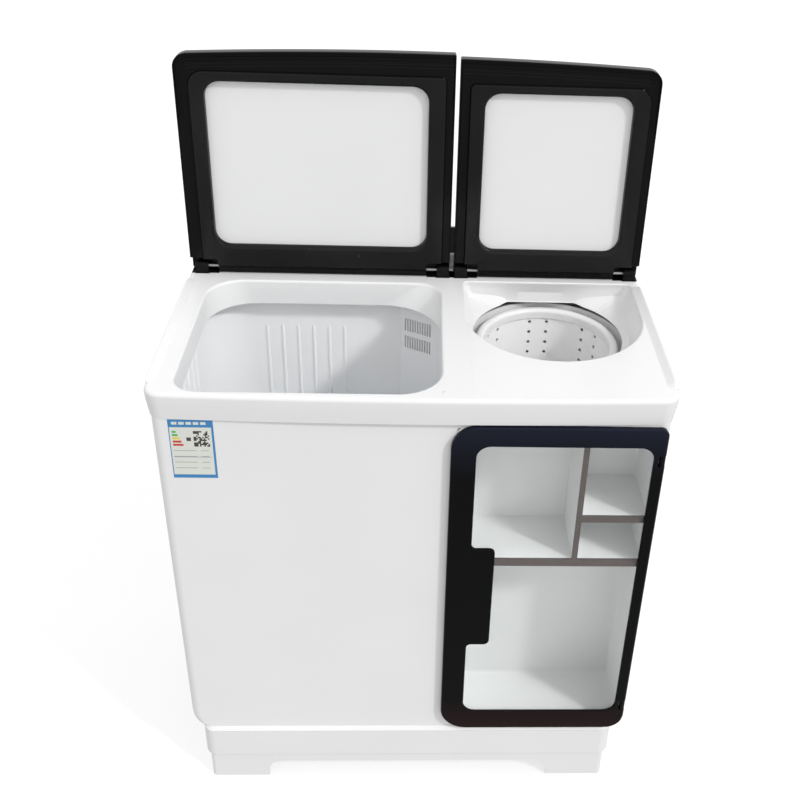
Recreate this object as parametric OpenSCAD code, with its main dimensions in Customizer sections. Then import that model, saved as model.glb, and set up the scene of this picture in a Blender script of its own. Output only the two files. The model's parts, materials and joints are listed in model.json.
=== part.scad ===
// Twin tub top load washing machine with a storage cabinet in its front.
// The machine stands on z = 0, centred in x and y, and faces -y.
// Both lids stand open, leaning back past upright, and the cabinet door is shut.

/* [Deck cover] */
// Width across the deck cover
deck_w = 790; // [780:1:800]
// Depth across the deck cover
deck_d = 490; // [488:1:496]
// Height of the deck's top face
deck_h = 840; // [836:1:850]
// Height of the cover's skirt
skirt_h = 46; // [40:1:50]
// Corner radius of the cover, seen from above
deck_r = 25; // [15:1:30]
// How far the cover's front bows out
deck_crown = 8; // [4:1:10]
// Height of the raised rims along the deck's two sides
rim_h = 6; // [3:0.5:6]

/* [Body] */
// Width of the body under the cover
body_w = 776; // [770:1:778]
// How much narrower the body is at its foot
body_taper = 12; // [0:1:16]
// Depth of the body, front face to rear panel
body_d = 448; // [446:1:452]
// Height of the base, where the body starts
plinth_h = 130; // [126:1:132]
// Wall of the moulded shells
wall = 3; // [2.5:0.1:3]

/* [Base] */
// Height of the step in the base
plinth_step_h = 60; // [55:1:75]
// Width of the base above its step
plinth_w = 728; // [722:1:734]
// How far the lower tier is set back at each side
plinth_setback = 8; // [6:1:14]
// Width of each foot
foot_w = 101; // [90:1:110]
// Height of the arch between the feet
arch_h = 40; // [30:1:44]

/* [Lids] */
// Length of the left lid, from its hinge to its free edge
left_lid_len = 379.5; // [376:0.5:384]
// Length of the right lid, from its hinge to its free edge
right_lid_len = 373.5; // [370:0.5:378]
// How far the free edges bow out, over both lids
lid_crown = 11; // [8:1:16]
// Thickness of a lid's shell
lid_t = 22; // [20:1:24]
// Angle that a lid swings, from open to shut
lid_swing = 91.5; // [91:0.5:93]
// Height of the hinge axis above the deck
lid_axis_h = 12; // [12:0.5:14]
// Radius of the hinge pins
lid_pin_r = 3; // [2.5:0.5:3.5]

/* [Cabinet door] */
// Width of the door
door_w = 328; // [324:1:330]
// Height of the door
door_h = 656; // [650:1:658]
// Thickness of the door
door_t = 10; // [9:0.5:10]
// Radius of the door's pins
door_pin_r = 2; // [1.5:0.5:2]

/* [Tubs] */
// Inside width of the wash tub
wash_w = 418; // [410:1:420]
// Inside depth of the wash tub, front to back
wash_d = 381; // [378:1:382]
// Height of the wash tub's floor
wash_floor = 375; // [370:1:380]
// Radius of the pulsator
pulsator_r = 150; // [130:1:160]
// Inside radius of the spin basket
basket_r = 110; // [100:1:111]
// Inside radius of the tub around the spin basket
spin_tub_r = 133; // [131:1:134]

/* [Hidden] */
$fn = 64;

e = 0.5;             // how far a cut runs past the face it opens
gap = 0.3;           // play between neighbouring mouldings
fit = 0.05;          // radial play of a shaft that turns in a bore
snug = 0.02;         // radial play of a shaft that is fixed in its bore

front = -deck_d / 2;                 // the cover's foremost line
body_front = front + 12;             // the body's front face
body_back = body_front + body_d;     // the back of the rear panel
deck_under = deck_h - wall;
seam_z = deck_h - skirt_h;
body_r = 16;                         // radius of the body's upright front corners

lid_axis_y = front + 399;
lid_axis_z = deck_h + lid_axis_h;
lid_gap_x = 61;                      // where the two lids meet
lid_outer_x = 392.5;                 // a lid's outer side edge
hinge_block_w = 22;
hinge_notch_w = 40;                  // block and bare stretch of pin together
hinge_pin_len = 54;
hinge_notch_len = 16;                // clears the block through the whole swing
notch_reach = 12;                    // how far a notch runs past the block's outer side
// each hinge: x of the block's outer side, and the side that the pin runs to
left_hinges = [[-385, 1], [57, -1]];
right_hinges = [[67, 1], [389, -1]];
// each lid: low x, high x, raised frame and window, all as [x, s] corners
left_raised = [[-370, 4], [43, 343]];
left_window = [[-346, 42], [15, 326]];
right_raised = [[83, 4], [379, 334]];
right_window = [[108, 42], [352, 319]];

wash_x = -161;
wash_y = front + 209.5;
wash_radii = [42, 60, 60, 80];       // front left, front right, back right, back left
opening_lo = [-355, front + 18];
opening_hi = [41, front + 367];
opening_radii = [38, 66, 40, 60];    // front left, front right, back right, back left
lip_z = deck_h - 53;                 // lower edge of the lips that hang from the deck

spin_x = 223;
spin_y = front + 270;
recess_x = 230;
recess_y = front + 264;
recess_r = 147;
recess_back = front + 378;
recess_lean = 20;                    // how far the recess's back wall leans out at its foot
spin_tub_floor = 430;
basket_floor = 448;
ring_top = 786;
ring_h = 18;
ring_r = 122;
shaft_r = 8;
motor_r = 62;

wash_motor = [5, front + 300];
driven_r = 85;
drive_r = 22;
belt_t = 5;
pulley_z = 284;
pulley_h = 14;

door_x = 55;
door_z = 135;
door_back = body_front - 1;
door_front = door_back - door_t;
door_axis = [door_x + door_w - door_t / 2, door_front + door_t / 2];
lug_zs = [door_z + 48, door_z + door_h - 68];
lug_h = 20;
window_lo = [94, 179];
window_hi = [364, 757];

store_lo = [64, 144];
store_hi = [373, 784];
store_d = 112;
liner_t = 2.5;
shelf_z = 512;
shelf_h = 15;
divider_x = 258;
divider_w = 9;
small_shelf_z = 604;
small_shelf_h = 13;
trim_d = 3;

console_w = 752;
console_y = front + 430;
console_back = front + 486;
console_lip_z = deck_h + 26;
slope = 30;
console_len = (console_back - console_y) / cos(slope);
console_top_z = console_lip_z + (console_back - console_y) * tan(slope);
fascia_t = 2;
knob_r = 21;
knob_xs = [-290, -100, 95, 290];     // wash timer, wash mode, drain, spin timer
stem_r = 4;

drain_at = [-320, front + 376];
drain_r = 14;
drain_z = 172;
inlet_r = 10;
inlet_xs = [-60, 60];
inlet_z = 752;
spout_out = 26;                      // how far a spout stands out of the rear panel
spout_flange = 2;                    // the part of that which is its flange
gland_at = [320, 190];

// ---- shapes that repeat ----

// A rectangle from lo to hi with its own radius at each corner, anticlockwise from the low corner
module rounded(lo, hi, radii) {
    corners = [[lo.x, lo.y, 1, 1], [hi.x, lo.y, -1, 1], [hi.x, hi.y, -1, -1], [lo.x, hi.y, 1, -1]];
    difference() {
        translate(lo) square(hi - lo);
        for (i = [0:3]) {
            c = corners[i];
            r = radii[i];
            if (r > 0) difference() {
                translate([c[0] + (c[2] > 0 ? -e : -r), c[1] + (c[3] > 0 ? -e : -r)]) square(r + e);
                translate([c[0] + c[2] * r, c[1] + c[3] * r]) circle(r);
            }
        }
    }
}

module slab(lo, hi, radii, z, h) {
    translate([0, 0, z]) linear_extrude(h) rounded(lo, hi, radii);
}

function all_round(r) = [r, r, r, r];
function grown(p, by) = [p.x + by, p.y + by];

// A rod along y, from y0 to y1
module rod_y(x, z, y0, y1, r) {
    translate([x, y0, z]) rotate([-90, 0, 0]) cylinder(r = r, h = y1 - y0);
}

// A tube standing on z
module tube(r_out, r_in, z, h) {
    translate([0, 0, z]) difference() {
        cylinder(r = r_out, h = h);
        translate([0, 0, -e]) cylinder(r = r_in, h = h + 2 * e);
    }
}

// ---- body ----

// Plan outline of the body, by its half width and how far it is drawn in
module body_plan(inset) {
    half = body_w / 2 - inset;
    rounded([-half, body_front + inset], [half, body_back + (inset > 0 ? e : 0)],
        [body_r - inset, body_r - inset, 0, 0]);
}

// Front view of the body, narrower at the foot
module body_taper_cut(inset) {
    top = body_w / 2 - inset;
    foot = top - body_taper / 2;
    low = plinth_h - e;
    high = deck_under + e;
    translate([0, deck_d, 0]) rotate([90, 0, 0]) linear_extrude(2 * deck_d)
        polygon([[-foot, low], [foot, low], [top, high], [-top, high]]);
}

module body_block(inset) {
    lift = inset > 0 ? e : 0;
    body_h = deck_under - plinth_h;
    intersection() {
        translate([0, 0, plinth_h - lift]) linear_extrude(body_h + 2 * lift) body_plan(inset);
        body_taper_cut(inset);
    }
}

screw_zs = [160, 330, 560, 740];
screw_x = 372;
flange_w = 22;
flange_x = body_w / 2 - flange_w / 2 - 4;

module screw_holes(r) {
    for (side = [-1, 1], z = screw_zs) rod_y(side * screw_x, z, body_back - 8, body_back + e, r);
}

// Front and sides in one moulding, with a turned-in flange that the rear panel screws to
module body_shell() {
    color("whitesmoke") difference() {
        union() {
            difference() {
                body_block(0);
                body_block(wall);
            }
            intersection() {
                body_block(wall / 2);
                for (side = [-1, 1])
                    translate([side * flange_x - flange_w / 2, body_back - 5, plinth_h])
                        cube([flange_w, 3, deck_under - plinth_h]);
            }
        }
        translate([store_lo.x, body_front - e, store_lo.y])
            cube([store_hi.x - store_lo.x, wall + 2 * e, store_hi.y - store_lo.y]);
        screw_holes(2.2);
    }
}

module rear_panel() {
    half = body_w / 2 - wall - body_taper / 2 - gap;
    color("gainsboro") difference() {
        translate([-half, body_back - 2, plinth_h + gap]) cube([2 * half, 2, seam_z + 20 - plinth_h]);
        screw_holes(2.2);
        rod_y(drain_at.x, drain_z, body_back - 3, body_back + e, drain_r + gap);
        rod_y(gland_at.x, gland_at.y, body_back - 3, body_back + e, 8);
        for (x = inlet_xs) rod_y(x, inlet_z, body_back - 3, body_back + e, inlet_r + gap);
        for (x = [-120:30:120], z = [230, 300])
            translate([x - 9, body_back - 3, z]) cube([18, 4, 5]);
    }
}

module rear_panel_screws() {
    color("silver") for (side = [-1, 1], z = screw_zs) {
        rod_y(side * screw_x, z, body_back - 7, body_back + 0.1, 2);
        rod_y(side * screw_x, z, body_back, body_back + 2, 4.5);
    }
}

// ---- base ----

plinth_lo = [-plinth_w / 2, front + 5];
plinth_hi = [plinth_w / 2, body_back - 2];
tier_lo = [plinth_lo.x + plinth_setback, plinth_lo.y + 3];
tier_hi = [plinth_hi.x - plinth_setback, plinth_hi.y - 3];
arch_half = -tier_lo.x - foot_w;
foot_back = tier_hi.y - foot_w;
arch_r = 25;
pad_ats = [for (x = [tier_lo.x + 50, tier_hi.x - 50], y = [tier_lo.y + 50, tier_hi.y - 50]) [x, y]];
pad_r = 22;

// Arch between two feet, through the whole base along y
module arch_y() {
    translate([0, deck_d, 0]) rotate([90, 0, 0]) linear_extrude(2 * deck_d)
        rounded([-arch_half, -60], [arch_half, arch_h], [0, 0, arch_r, arch_r]);
}

// Arch between the front and back feet, through the base along x
module arch_x() {
    translate([-deck_w, 0, 0]) rotate([90, 0, 90]) linear_extrude(2 * deck_w)
        rounded([tier_lo.y + foot_w, -60], [foot_back, arch_h], [0, 0, arch_r, arch_r]);
}

// One moulding, open underneath, with a boss over each foot pad
module base_plinth() {
    color("whitesmoke") difference() {
        union() {
            difference() {
                union() {
                    slab(tier_lo, tier_hi, all_round(8), 1, plinth_step_h);
                    slab(plinth_lo, plinth_hi, all_round(20), plinth_step_h, plinth_h - plinth_step_h);
                }
                slab(grown(tier_lo, wall), grown(tier_hi, -wall), all_round(5), -e, plinth_h - wall - 1);
            }
            for (p = pad_ats) translate([p.x, p.y, 1]) cylinder(r = pad_r + 4, h = plinth_h - wall);
        }
        arch_y();
        arch_x();
        for (p = pad_ats) translate([p.x, p.y, -e]) cylinder(r = pad_r + gap, h = 9 + e);
    }
}

module foot_pads() {
    color("dimgray") for (p = pad_ats) translate([p.x, p.y, 0]) cylinder(r = pad_r, h = 9);
}

// ---- deck cover ----

function bow_radius(half, sag) = (half * half + sag * sag) / (2 * sag);

// Plan outline of the cover, with a bowed front
module deck_plan(inset) {
    bow = bow_radius(deck_w / 2, deck_crown);
    intersection() {
        rounded([-deck_w / 2 + inset, front + inset], [deck_w / 2 - inset, front + deck_d - inset],
            all_round(deck_r - inset));
        translate([0, front + bow]) circle(bow - inset, $fn = 360);
    }
}

module opening_plan(by) {
    rounded(grown(opening_lo, -by), grown(opening_hi, by), [for (r = opening_radii) r + by]);
}

module recess_plan(by) {
    translate([recess_x, recess_y]) circle(recess_r + by);
    translate([recess_x - recess_r - by, recess_y])
        square([2 * (recess_r + by), recess_back + by - recess_y]);
}

// The recess as a solid, its back wall leaning out towards the foot
module recess_solid(by) {
    foot = lip_z + wall - by;
    head = deck_h + (by > 0 ? -e : e);
    translate([0, 0, foot]) linear_extrude(head - foot) recess_plan(by);
    translate([recess_x - recess_r - by, 0, 0]) rotate([90, 0, 90]) linear_extrude(2 * (recess_r + by))
        polygon([[recess_y, foot], [recess_back + recess_lean + by, foot], [recess_back + by, head],
            [recess_y, head]]);
}

// Hole in the recess floor: a circle round the basket, cut straight at its back
module recess_hole_plan() {
    intersection() {
        translate([spin_x, spin_y]) circle(spin_tub_r - 3);
        translate([0, front]) square([deck_w, spin_y + 118 - front]);
    }
}

rim_w = 7;
rim_len = 330;       // the rims end in front of the lids

// The cover: a skirted plate with the two openings, and a lip or wall hanging from each
module top_deck() {
    color("white") difference() {
        union() {
            translate([0, 0, seam_z]) linear_extrude(skirt_h) deck_plan(0);
            for (side = [-1, 1]) intersection() {
                translate([0, 0, deck_h - e]) linear_extrude(rim_h + e) deck_plan(0);
                translate([side * (deck_w / 2 - 2) - rim_w / 2, front + 40, deck_h - e])
                    cube([rim_w, rim_len, rim_h + e]);
            }
        }
        difference() {
            translate([0, 0, seam_z - e]) linear_extrude(skirt_h - wall + e) deck_plan(wall);
            translate([0, 0, lip_z]) linear_extrude(deck_h - lip_z) opening_plan(wall);
            recess_solid(wall);
        }
        translate([0, 0, seam_z - e]) linear_extrude(deck_h) opening_plan(0);
        recess_solid(0);
        translate([0, 0, lip_z - e]) linear_extrude(wall + 2 * e) recess_hole_plan();
    }
}

// ---- console ----

module console_profile(inset) {
    lip = console_lip_z - inset * tan((90 + slope) / 4);
    polygon([[console_y + inset, deck_h - (inset > 0 ? e : 0)], [console_y + inset, lip],
        [console_back - inset, lip + (console_back - console_y - 2 * inset) * tan(slope)],
        [console_back - inset, deck_h - (inset > 0 ? e : 0)]]);
}

module console_prism(half, inset) {
    translate([-half, 0, 0]) rotate([90, 0, 90]) linear_extrude(2 * half) console_profile(inset);
}

// Places a child on the middle of the console's sloping face, with z standing out of the face
module on_console(x) {
    translate([x, (console_y + console_back) / 2, (console_lip_z + console_top_z) / 2])
        rotate([slope, 0, 0]) children();
}

module console_housing() {
    color("whitesmoke") difference() {
        console_prism(console_w / 2, 0);
        console_prism(console_w / 2 - wall, wall);
        for (x = knob_xs) on_console(x) translate([0, 0, -wall * 2]) cylinder(r = stem_r + 1, h = wall * 3);
    }
}

module console_fascia() {
    color("#202022") difference() {
        on_console(0) translate([-console_w / 2 + 8, -console_len / 2 + 5, 0])
            cube([console_w - 16, console_len - 10, fascia_t]);
        for (x = knob_xs) on_console(x) translate([0, 0, -e])
            cylinder(r = stem_r + 1, h = fascia_t + 2 * e);
    }
}

timer_depth = 20;

// Spring-wound timers and the two selector switches, behind the knobs
module timer_units() {
    color("dimgray") for (x = knob_xs) on_console(x) difference() {
        translate([-22, -13, -wall - timer_depth - gap]) cube([44, 26, timer_depth]);
        translate([0, 0, -wall - 13]) cylinder(r = stem_r + fit, h = 20);
    }
}

module knob(x) {
    on_console(x) {
        translate([0, 0, fascia_t + 0.6]) cylinder(r = knob_r, h = 6);
        translate([0, 0, fascia_t + 6]) cylinder(r = knob_r - 5, h = 12);
        translate([-4, 2 - knob_r, fascia_t + 6]) cube([8, 2 * knob_r - 4, 16]);
        translate([0, 0, -wall - 12]) cylinder(r = stem_r, h = wall + 12 + fascia_t + 2);
    }
}

// ---- wash side ----

module wash_tub_plan(by) {
    half = [wash_w / 2 + by, wash_d / 2 + by];
    translate([wash_x, wash_y]) rounded(-half, half, [for (r = wash_radii) r + by]);
}

wash_rim = deck_under - 1;

// The tub's rim stands outside the cover's lip, except at the front, where the tub stops under the lip
module wash_tub() {
    color("gainsboro") difference() {
        translate([0, 0, wash_floor - wall]) linear_extrude(wash_rim - wash_floor + wall)
            wash_tub_plan(wall);
        translate([0, 0, wash_floor]) linear_extrude(deck_h) wash_tub_plan(0);
        translate([wash_x - wash_w, front, lip_z - gap]) cube([2 * wash_w, 90, deck_h]);
        translate([wash_x, wash_y, wash_floor - wall - e]) cylinder(r = 20, h = wall + 2 * e);
        translate([drain_at.x, drain_at.y - 60, wash_floor - wall - e]) cylinder(r = 12, h = wall + 2 * e);
    }
}

filter_at = [7.8, front + 380, deck_h - 360];    // middle of the cover's lower edge
filter_turn = -28;
filter_size = [77.6, 3, 304];
filter_slot = [2.8, 26];

// Flat cover from wall to wall across the tub's back corner, with two rows of upright slots
module overflow_filter_cover() {
    color("lightgray") translate(filter_at) rotate([0, 0, filter_turn]) difference() {
        translate([-filter_size.x / 2, -filter_size.y / 2, 0]) cube(filter_size);
        for (x = [-29:5:21], z = [214, 250]) translate([x - filter_slot.x / 2, -filter_size.y, z])
            cube([filter_slot.x, 2 * filter_size.y, filter_slot.y]);
    }
}

bearing_z = pulley_z + pulley_h + 12;

module wash_bearing_housing() {
    color("silver") translate([wash_x, wash_y, 0]) difference() {
        union() {
            translate([0, 0, wash_floor - wall - 6]) cylinder(r = 48, h = 6);
            translate([0, 0, bearing_z]) cylinder(r = 19.7, h = wash_floor - bearing_z);
        }
        translate([0, 0, pulley_z]) cylinder(r = shaft_r + fit, h = wash_floor);
    }
}

module pulsator() {
    color("steelblue") translate([wash_x, wash_y, wash_floor]) difference() {
        union() {
            rotate_extrude()
                polygon([[0, 2], [pulsator_r, 2], [pulsator_r, 6], [40, 12], [26, 26], [0, 28]]);
            for (a = [0:60:300]) rotate([0, 0, a]) translate([30, -5, 5]) cube([pulsator_r - 42, 10, 12]);
        }
        translate([0, 0, -e]) cylinder(r = shaft_r + snug, h = 16 + e);
    }
}

module pulsator_shaft() {
    color("silver") translate([wash_x, wash_y, pulley_z - 6])
        cylinder(r = shaft_r, h = wash_floor + 15 - pulley_z + 6);
}

// A pulley: two flanges with a groove that stands clear of the belt
module pulley(r, bore) {
    difference() {
        union() {
            cylinder(r = r, h = pulley_h);
            for (z = [0, pulley_h - 2]) translate([0, 0, z]) cylinder(r = r + belt_t, h = 2);
        }
        translate([0, 0, -e]) cylinder(r = bore + snug, h = pulley_h + 2 * e);
    }
}

module driven_pulley() {
    color("#303030") translate([wash_x, wash_y, pulley_z]) difference() {
        pulley(driven_r, shaft_r);
        for (a = [0:72:288]) rotate([0, 0, a]) translate([50, 0, -e])
            cylinder(r = 17, h = pulley_h + 2 * e);
    }
}

module motor_pulley() {
    color("silver") translate([wash_motor.x, wash_motor.y, pulley_z]) pulley(drive_r, shaft_r);
}

module wash_motor_shaft() {
    bottom = 180;
    color("silver") translate([wash_motor.x, wash_motor.y, bottom])
        cylinder(r = shaft_r, h = pulley_z + pulley_h + 6 - bottom);
}

// A motor: a drum between two end bells, bored through for its shaft
module motor(z, h) {
    difference() {
        union() {
            translate([0, 0, z + 8]) cylinder(r = motor_r, h = h - 16);
            translate([0, 0, z]) cylinder(r = motor_r - 14, h = h);
        }
        translate([0, 0, z + 10]) cylinder(r = shaft_r + fit, h = h);
    }
}

module wash_motor_body() {
    color("gray") translate([wash_motor.x, wash_motor.y, 0]) motor(165, 103);
}

module motor_bracket() {
    color("dimgray") translate([wash_motor.x, wash_motor.y, 0]) {
        translate([-60, -60, plinth_h]) cube([120, 120, 3]);
        translate([-60, -60, 162]) cube([120, 120, 3]);
        for (x = [-1, 1], y = [-1, 1]) translate([x * 50, y * 50, plinth_h]) cylinder(r = 7, h = 33);
    }
}

belt_run = [wash_x - wash_motor.x, wash_y - wash_motor.y];
belt_span = norm(belt_run);
belt_turn = atan2(belt_run.y, belt_run.x);
belt_lean = asin((driven_r - drive_r) / belt_span);

// Outline round both pulleys, seen from the motor's axis with the driven pulley along +x
module belt_outline(by) {
    side = [for (s = [1, -1]) s * (90 + belt_lean)];
    circle(drive_r + by);
    translate([belt_span, 0]) circle(driven_r + by);
    polygon([for (i = [0, 1]) (drive_r + by) * [cos(side[i]), sin(side[i])],
        for (i = [1, 0]) [belt_span, 0] + (driven_r + by) * [cos(side[i]), sin(side[i])]]);
}

module drive_belt() {
    color("#151515") translate([wash_motor.x, wash_motor.y, pulley_z + 2 + gap]) rotate([0, 0, belt_turn])
        linear_extrude(pulley_h - 4 - 2 * gap) difference() {
            belt_outline(belt_t);
            belt_outline(gap);
        }
}

module motor_capacitor() {
    color("darkgray") translate([-150, front + 330, plinth_h]) cylinder(r = 19, h = 62);
}

// ---- spin side ----

module spin_outer_tub() {
    color("gainsboro") translate([spin_x, spin_y, 0]) difference() {
        translate([0, 0, spin_tub_floor - wall])
            cylinder(r = spin_tub_r + wall, h = lip_z - gap - spin_tub_floor + wall);
        translate([0, 0, spin_tub_floor]) cylinder(r = spin_tub_r, h = deck_h);
        translate([0, 0, spin_tub_floor - wall - e]) cylinder(r = 24, h = wall + 2 * e);
    }
}

module spin_seal() {
    color("#252525") translate([spin_x, spin_y, 0]) {
        tube(23.7, shaft_r + gap, spin_tub_floor - 8, 12);
    }
}

// Basket: a drum with its drain holes in seven pairs of upright rows
module spin_basket() {
    top = ring_top - ring_h;
    color("white") translate([spin_x, spin_y, 0]) difference() {
        translate([0, 0, basket_floor - wall]) cylinder(r = basket_r + 2, h = top - basket_floor + wall);
        translate([0, 0, basket_floor]) cylinder(r = basket_r, h = top);
        translate([0, 0, basket_floor - wall - e]) cylinder(r = shaft_r + snug, h = wall + 2 * e);
        for (i = [0:6], side = [-8, 8], k = [0:3]) rotate([0, 0, 91.5 + i * 360 / 7 + side])
            translate([basket_r - 4, 0, basket_floor + 58 + k * 84])
                rotate([0, 90, 0]) cylinder(r = 3, h = 12);
    }
}

module balance_ring() {
    color("white") translate([spin_x, spin_y, 0]) tube(ring_r, ring_r - 15, ring_top - ring_h, ring_h);
}

spin_motor_z = 205;
spin_motor_h = 130;
drum_z = 352;
drum_r = 42;
drum_h = 26;

module spin_shaft() {
    color("silver") translate([spin_x, spin_y, 0]) {
        translate([0, 0, spin_motor_z + 20])
            cylinder(r = shaft_r, h = basket_floor + 8 - spin_motor_z - 20);
        translate([0, 0, basket_floor + 0.01]) cylinder(r = 20, h = 8);
    }
}

module brake_drum() {
    color("gray") translate([spin_x, spin_y, 0]) tube(drum_r, shaft_r + snug, drum_z, drum_h);
}

module spin_motor_body() {
    color("gray") translate([spin_x, spin_y, 0]) motor(spin_motor_z, spin_motor_h);
}

// Three sleeves, each a coil spring in its rubber boot
module spin_motor_springs() {
    color("#303030") translate([spin_x, spin_y, 0]) for (a = [90, 210, 330]) rotate([0, 0, a])
        translate([32, 0, 0]) tube(13, 7, plinth_h, spin_motor_z - plinth_h);
}

lever_at = [spin_x + 66, spin_y];

// Brake lever with its shoe, on a post that is part of the lever
module brake_lever() {
    color("dimgray") translate([lever_at.x, lever_at.y, drum_z + 4]) {
        cylinder(r = 8, h = 18);
        translate([-4, 0, 0]) cube([8, 60, 6]);
        translate([-23.5, 6, 0]) cube([22, 10, 18]);
    }
}

// ---- drain and connections ----

module drain_valve_body() {
    color("lightgray") translate([drain_at.x, drain_at.y - 60, 0]) difference() {
        translate([0, 0, wash_floor - wall - 44]) cylinder(r = 20, h = 44);
        translate([0, 0, wash_floor - wall - 38]) cylinder(r = 12, h = 44);
    }
    color("lightgray") difference() {
        rod_y(drain_at.x, wash_floor - wall - 26, drain_at.y - 42, drain_at.y, 9);
        translate([drain_at.x, drain_at.y - 60, wash_floor - wall - 50]) cylinder(r = 19, h = 60);
    }
}

module drain_plunger() {
    color("darkred") translate([drain_at.x, drain_at.y - 60, wash_floor - wall - 34]) {
        cylinder(r = 10, h = 8);
        cylinder(r = 3, h = 20);
    }
}

// A pipe out through the rear panel, with a flange on its outer side and a free end for a hose
module hose_end(x, z, y0, r) {
    rod_y(x, z, y0, body_back + spout_flange, r - 1);
    rod_y(x, z, body_back + gap, body_back + spout_flange, r + 4);
    rod_y(x, z, body_back + spout_flange, body_back + spout_out, r);
}

// Down pipe from the valve, and the spout for the drain hose
module drain_outlet() {
    color("gray") difference() {
        union() {
            translate([drain_at.x, drain_at.y, drain_z])
                cylinder(r = drain_r - 1, h = wash_floor - wall - 10 - drain_z);
            hose_end(drain_at.x, drain_z, drain_at.y, drain_r);
            translate([drain_at.x, drain_at.y, drain_z]) sphere(drain_r - 1);
        }
        rod_y(drain_at.x, drain_z, drain_at.y, body_back + spout_out + e, drain_r - 3);
        rod_y(drain_at.x, wash_floor - wall - 26, drain_at.y - 30, drain_at.y + gap, 9 + gap);
    }
}

module water_inlets() {
    color("gray") for (x = inlet_xs) difference() {
        union() {
            hose_end(x, inlet_z, body_back - 22, inlet_r);
            rod_y(x, inlet_z, body_back - 6, body_back - 2, inlet_r + 6);
        }
        rod_y(x, inlet_z, body_back - 18, body_back + spout_out + e, inlet_r - 3);
    }
}

// Bushing for the mains lead
module cable_gland() {
    color("#252525") difference() {
        union() {
            rod_y(gland_at.x, gland_at.y, body_back - 8, body_back + 8, 7.7);
            rod_y(gland_at.x, gland_at.y, body_back, body_back + 3, 11);
            rod_y(gland_at.x, gland_at.y, body_back - 6, body_back - 2, 11);
        }
        rod_y(gland_at.x, gland_at.y, body_back - 9, body_back + 9, 4);
    }
}

module energy_label() {
    color("lightblue") translate([-362, body_front - gap, 686]) cube([66, gap, 107]);
}

// ---- cabinet ----

module storage_liner() {
    lo = grown(store_lo, gap);
    size = grown(store_hi, -gap) - lo;
    color("white") difference() {
        translate([lo.x, body_front, lo.y]) cube([size.x, store_d, size.y]);
        translate([lo.x + liner_t, body_front - e, lo.y + liner_t])
            cube([size.x - 2 * liner_t, store_d - liner_t + e, size.y - 2 * liner_t]);
    }
}

store_in_lo = grown(store_lo, gap + liner_t);
store_in_hi = grown(store_hi, -gap - liner_t);
shelf_y = body_front + 1 + trim_d;
shelf_d = store_d - liner_t - 1 - trim_d;

module main_shelf() {
    color("white") translate([store_in_lo.x, shelf_y, shelf_z])
        cube([store_in_hi.x - store_in_lo.x, shelf_d, shelf_h]);
}

module shelf_divider() {
    color("white") translate([divider_x, shelf_y, shelf_z + shelf_h])
        cube([divider_w, shelf_d, store_in_hi.y - shelf_z - shelf_h]);
}

module small_shelf() {
    color("white") translate([divider_x + divider_w, shelf_y, small_shelf_z])
        cube([store_in_hi.x - divider_x - divider_w, shelf_d, small_shelf_h]);
}

// Dark edging on the shelves and the divider, one strip for each
module shelf_trims() {
    color("#3a2622") translate([0, shelf_y - trim_d, 0]) {
        translate([store_in_lo.x, 0, shelf_z]) cube([store_in_hi.x - store_in_lo.x, trim_d, shelf_h]);
        translate([divider_x, 0, shelf_z + shelf_h])
            cube([divider_w, trim_d, store_in_hi.y - shelf_z - shelf_h]);
        translate([divider_x + divider_w, 0, small_shelf_z])
            cube([store_in_hi.x - divider_x - divider_w, trim_d, small_shelf_h]);
    }
}

module door_catch() {
    color("silver") translate([store_in_lo.x, body_front + 1, 430]) cube([10, 14, 40]);
}

module door_hinge_lugs() {
    color("#202022") for (z = lug_zs) difference() {
        union() {
            translate([door_axis.x, door_axis.y, z]) cylinder(r = door_t / 2 - 0.4, h = lug_h);
            translate([door_axis.x - 3, door_axis.y, z]) cube([6, body_front - door_axis.y, lug_h]);
        }
        translate([door_axis.x, door_axis.y, z - e]) cylinder(r = door_pin_r + fit, h = lug_h + 2 * e);
    }
}

// ---- door ----

// Outline of the door in its own plane, x and z
module door_plan() {
    rounded([door_x, door_z], [door_x + door_w, door_z + door_h], [46, 32, 13, 42]);
}

// Stands a drawing in x and z upright, from y to y + t
module upright(y, t) {
    translate([0, y + t, 0]) rotate([90, 0, 0]) linear_extrude(t) children();
}

module door_frame() {
    rebate = 5;
    color("#202022") difference() {
        intersection() {
            upright(door_front, door_t) door_plan();
            union() {
                translate([door_x - e, door_front - e, 0])
                    cube([door_w + e - door_t / 2, door_t + 2 * e, deck_h]);
                translate([door_axis.x, door_axis.y, 0]) cylinder(r = door_t / 2, h = deck_h);
            }
        }
        upright(door_front - e, door_t + 2 * e) difference() {
            rounded(window_lo, window_hi, all_round(22));
            rounded([window_lo.x - e, 344], [132, 556], [0, 10, 10, 0]);
        }
        upright(door_front + 4, door_t)
            rounded(grown(window_lo, -rebate), grown(window_hi, rebate), all_round(27));
        for (z = lug_zs) {
            translate([door_axis.x - 7, door_front - e, z - 0.4])
                cube([door_t + 4, door_t + 2 * e, lug_h + 0.8]);
            translate([door_axis.x, door_axis.y, z - 12]) cylinder(r = door_pin_r + snug, h = lug_h + 24);
        }
    }
}

module door_window() {
    lo = grown(window_lo, -4.7);
    hi = grown(window_hi, 4.7);
    color([0.8, 0.85, 0.87, 0.4]) upright(door_front + 4.01, 3) rounded(lo, hi, all_round(26.7));
}

module door_pins() {
    color("silver") for (z = lug_zs) translate([door_axis.x, door_axis.y, z - 11])
        cylinder(r = door_pin_r, h = lug_h + 22);
}

// ---- lids ----

// A lid is drawn shut, with its hinge axis on x and its free edge towards -y, then swung open.
module open_lid() {
    translate([0, lid_axis_y, lid_axis_z]) rotate([-lid_swing, 0, 0]) children();
}

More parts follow.
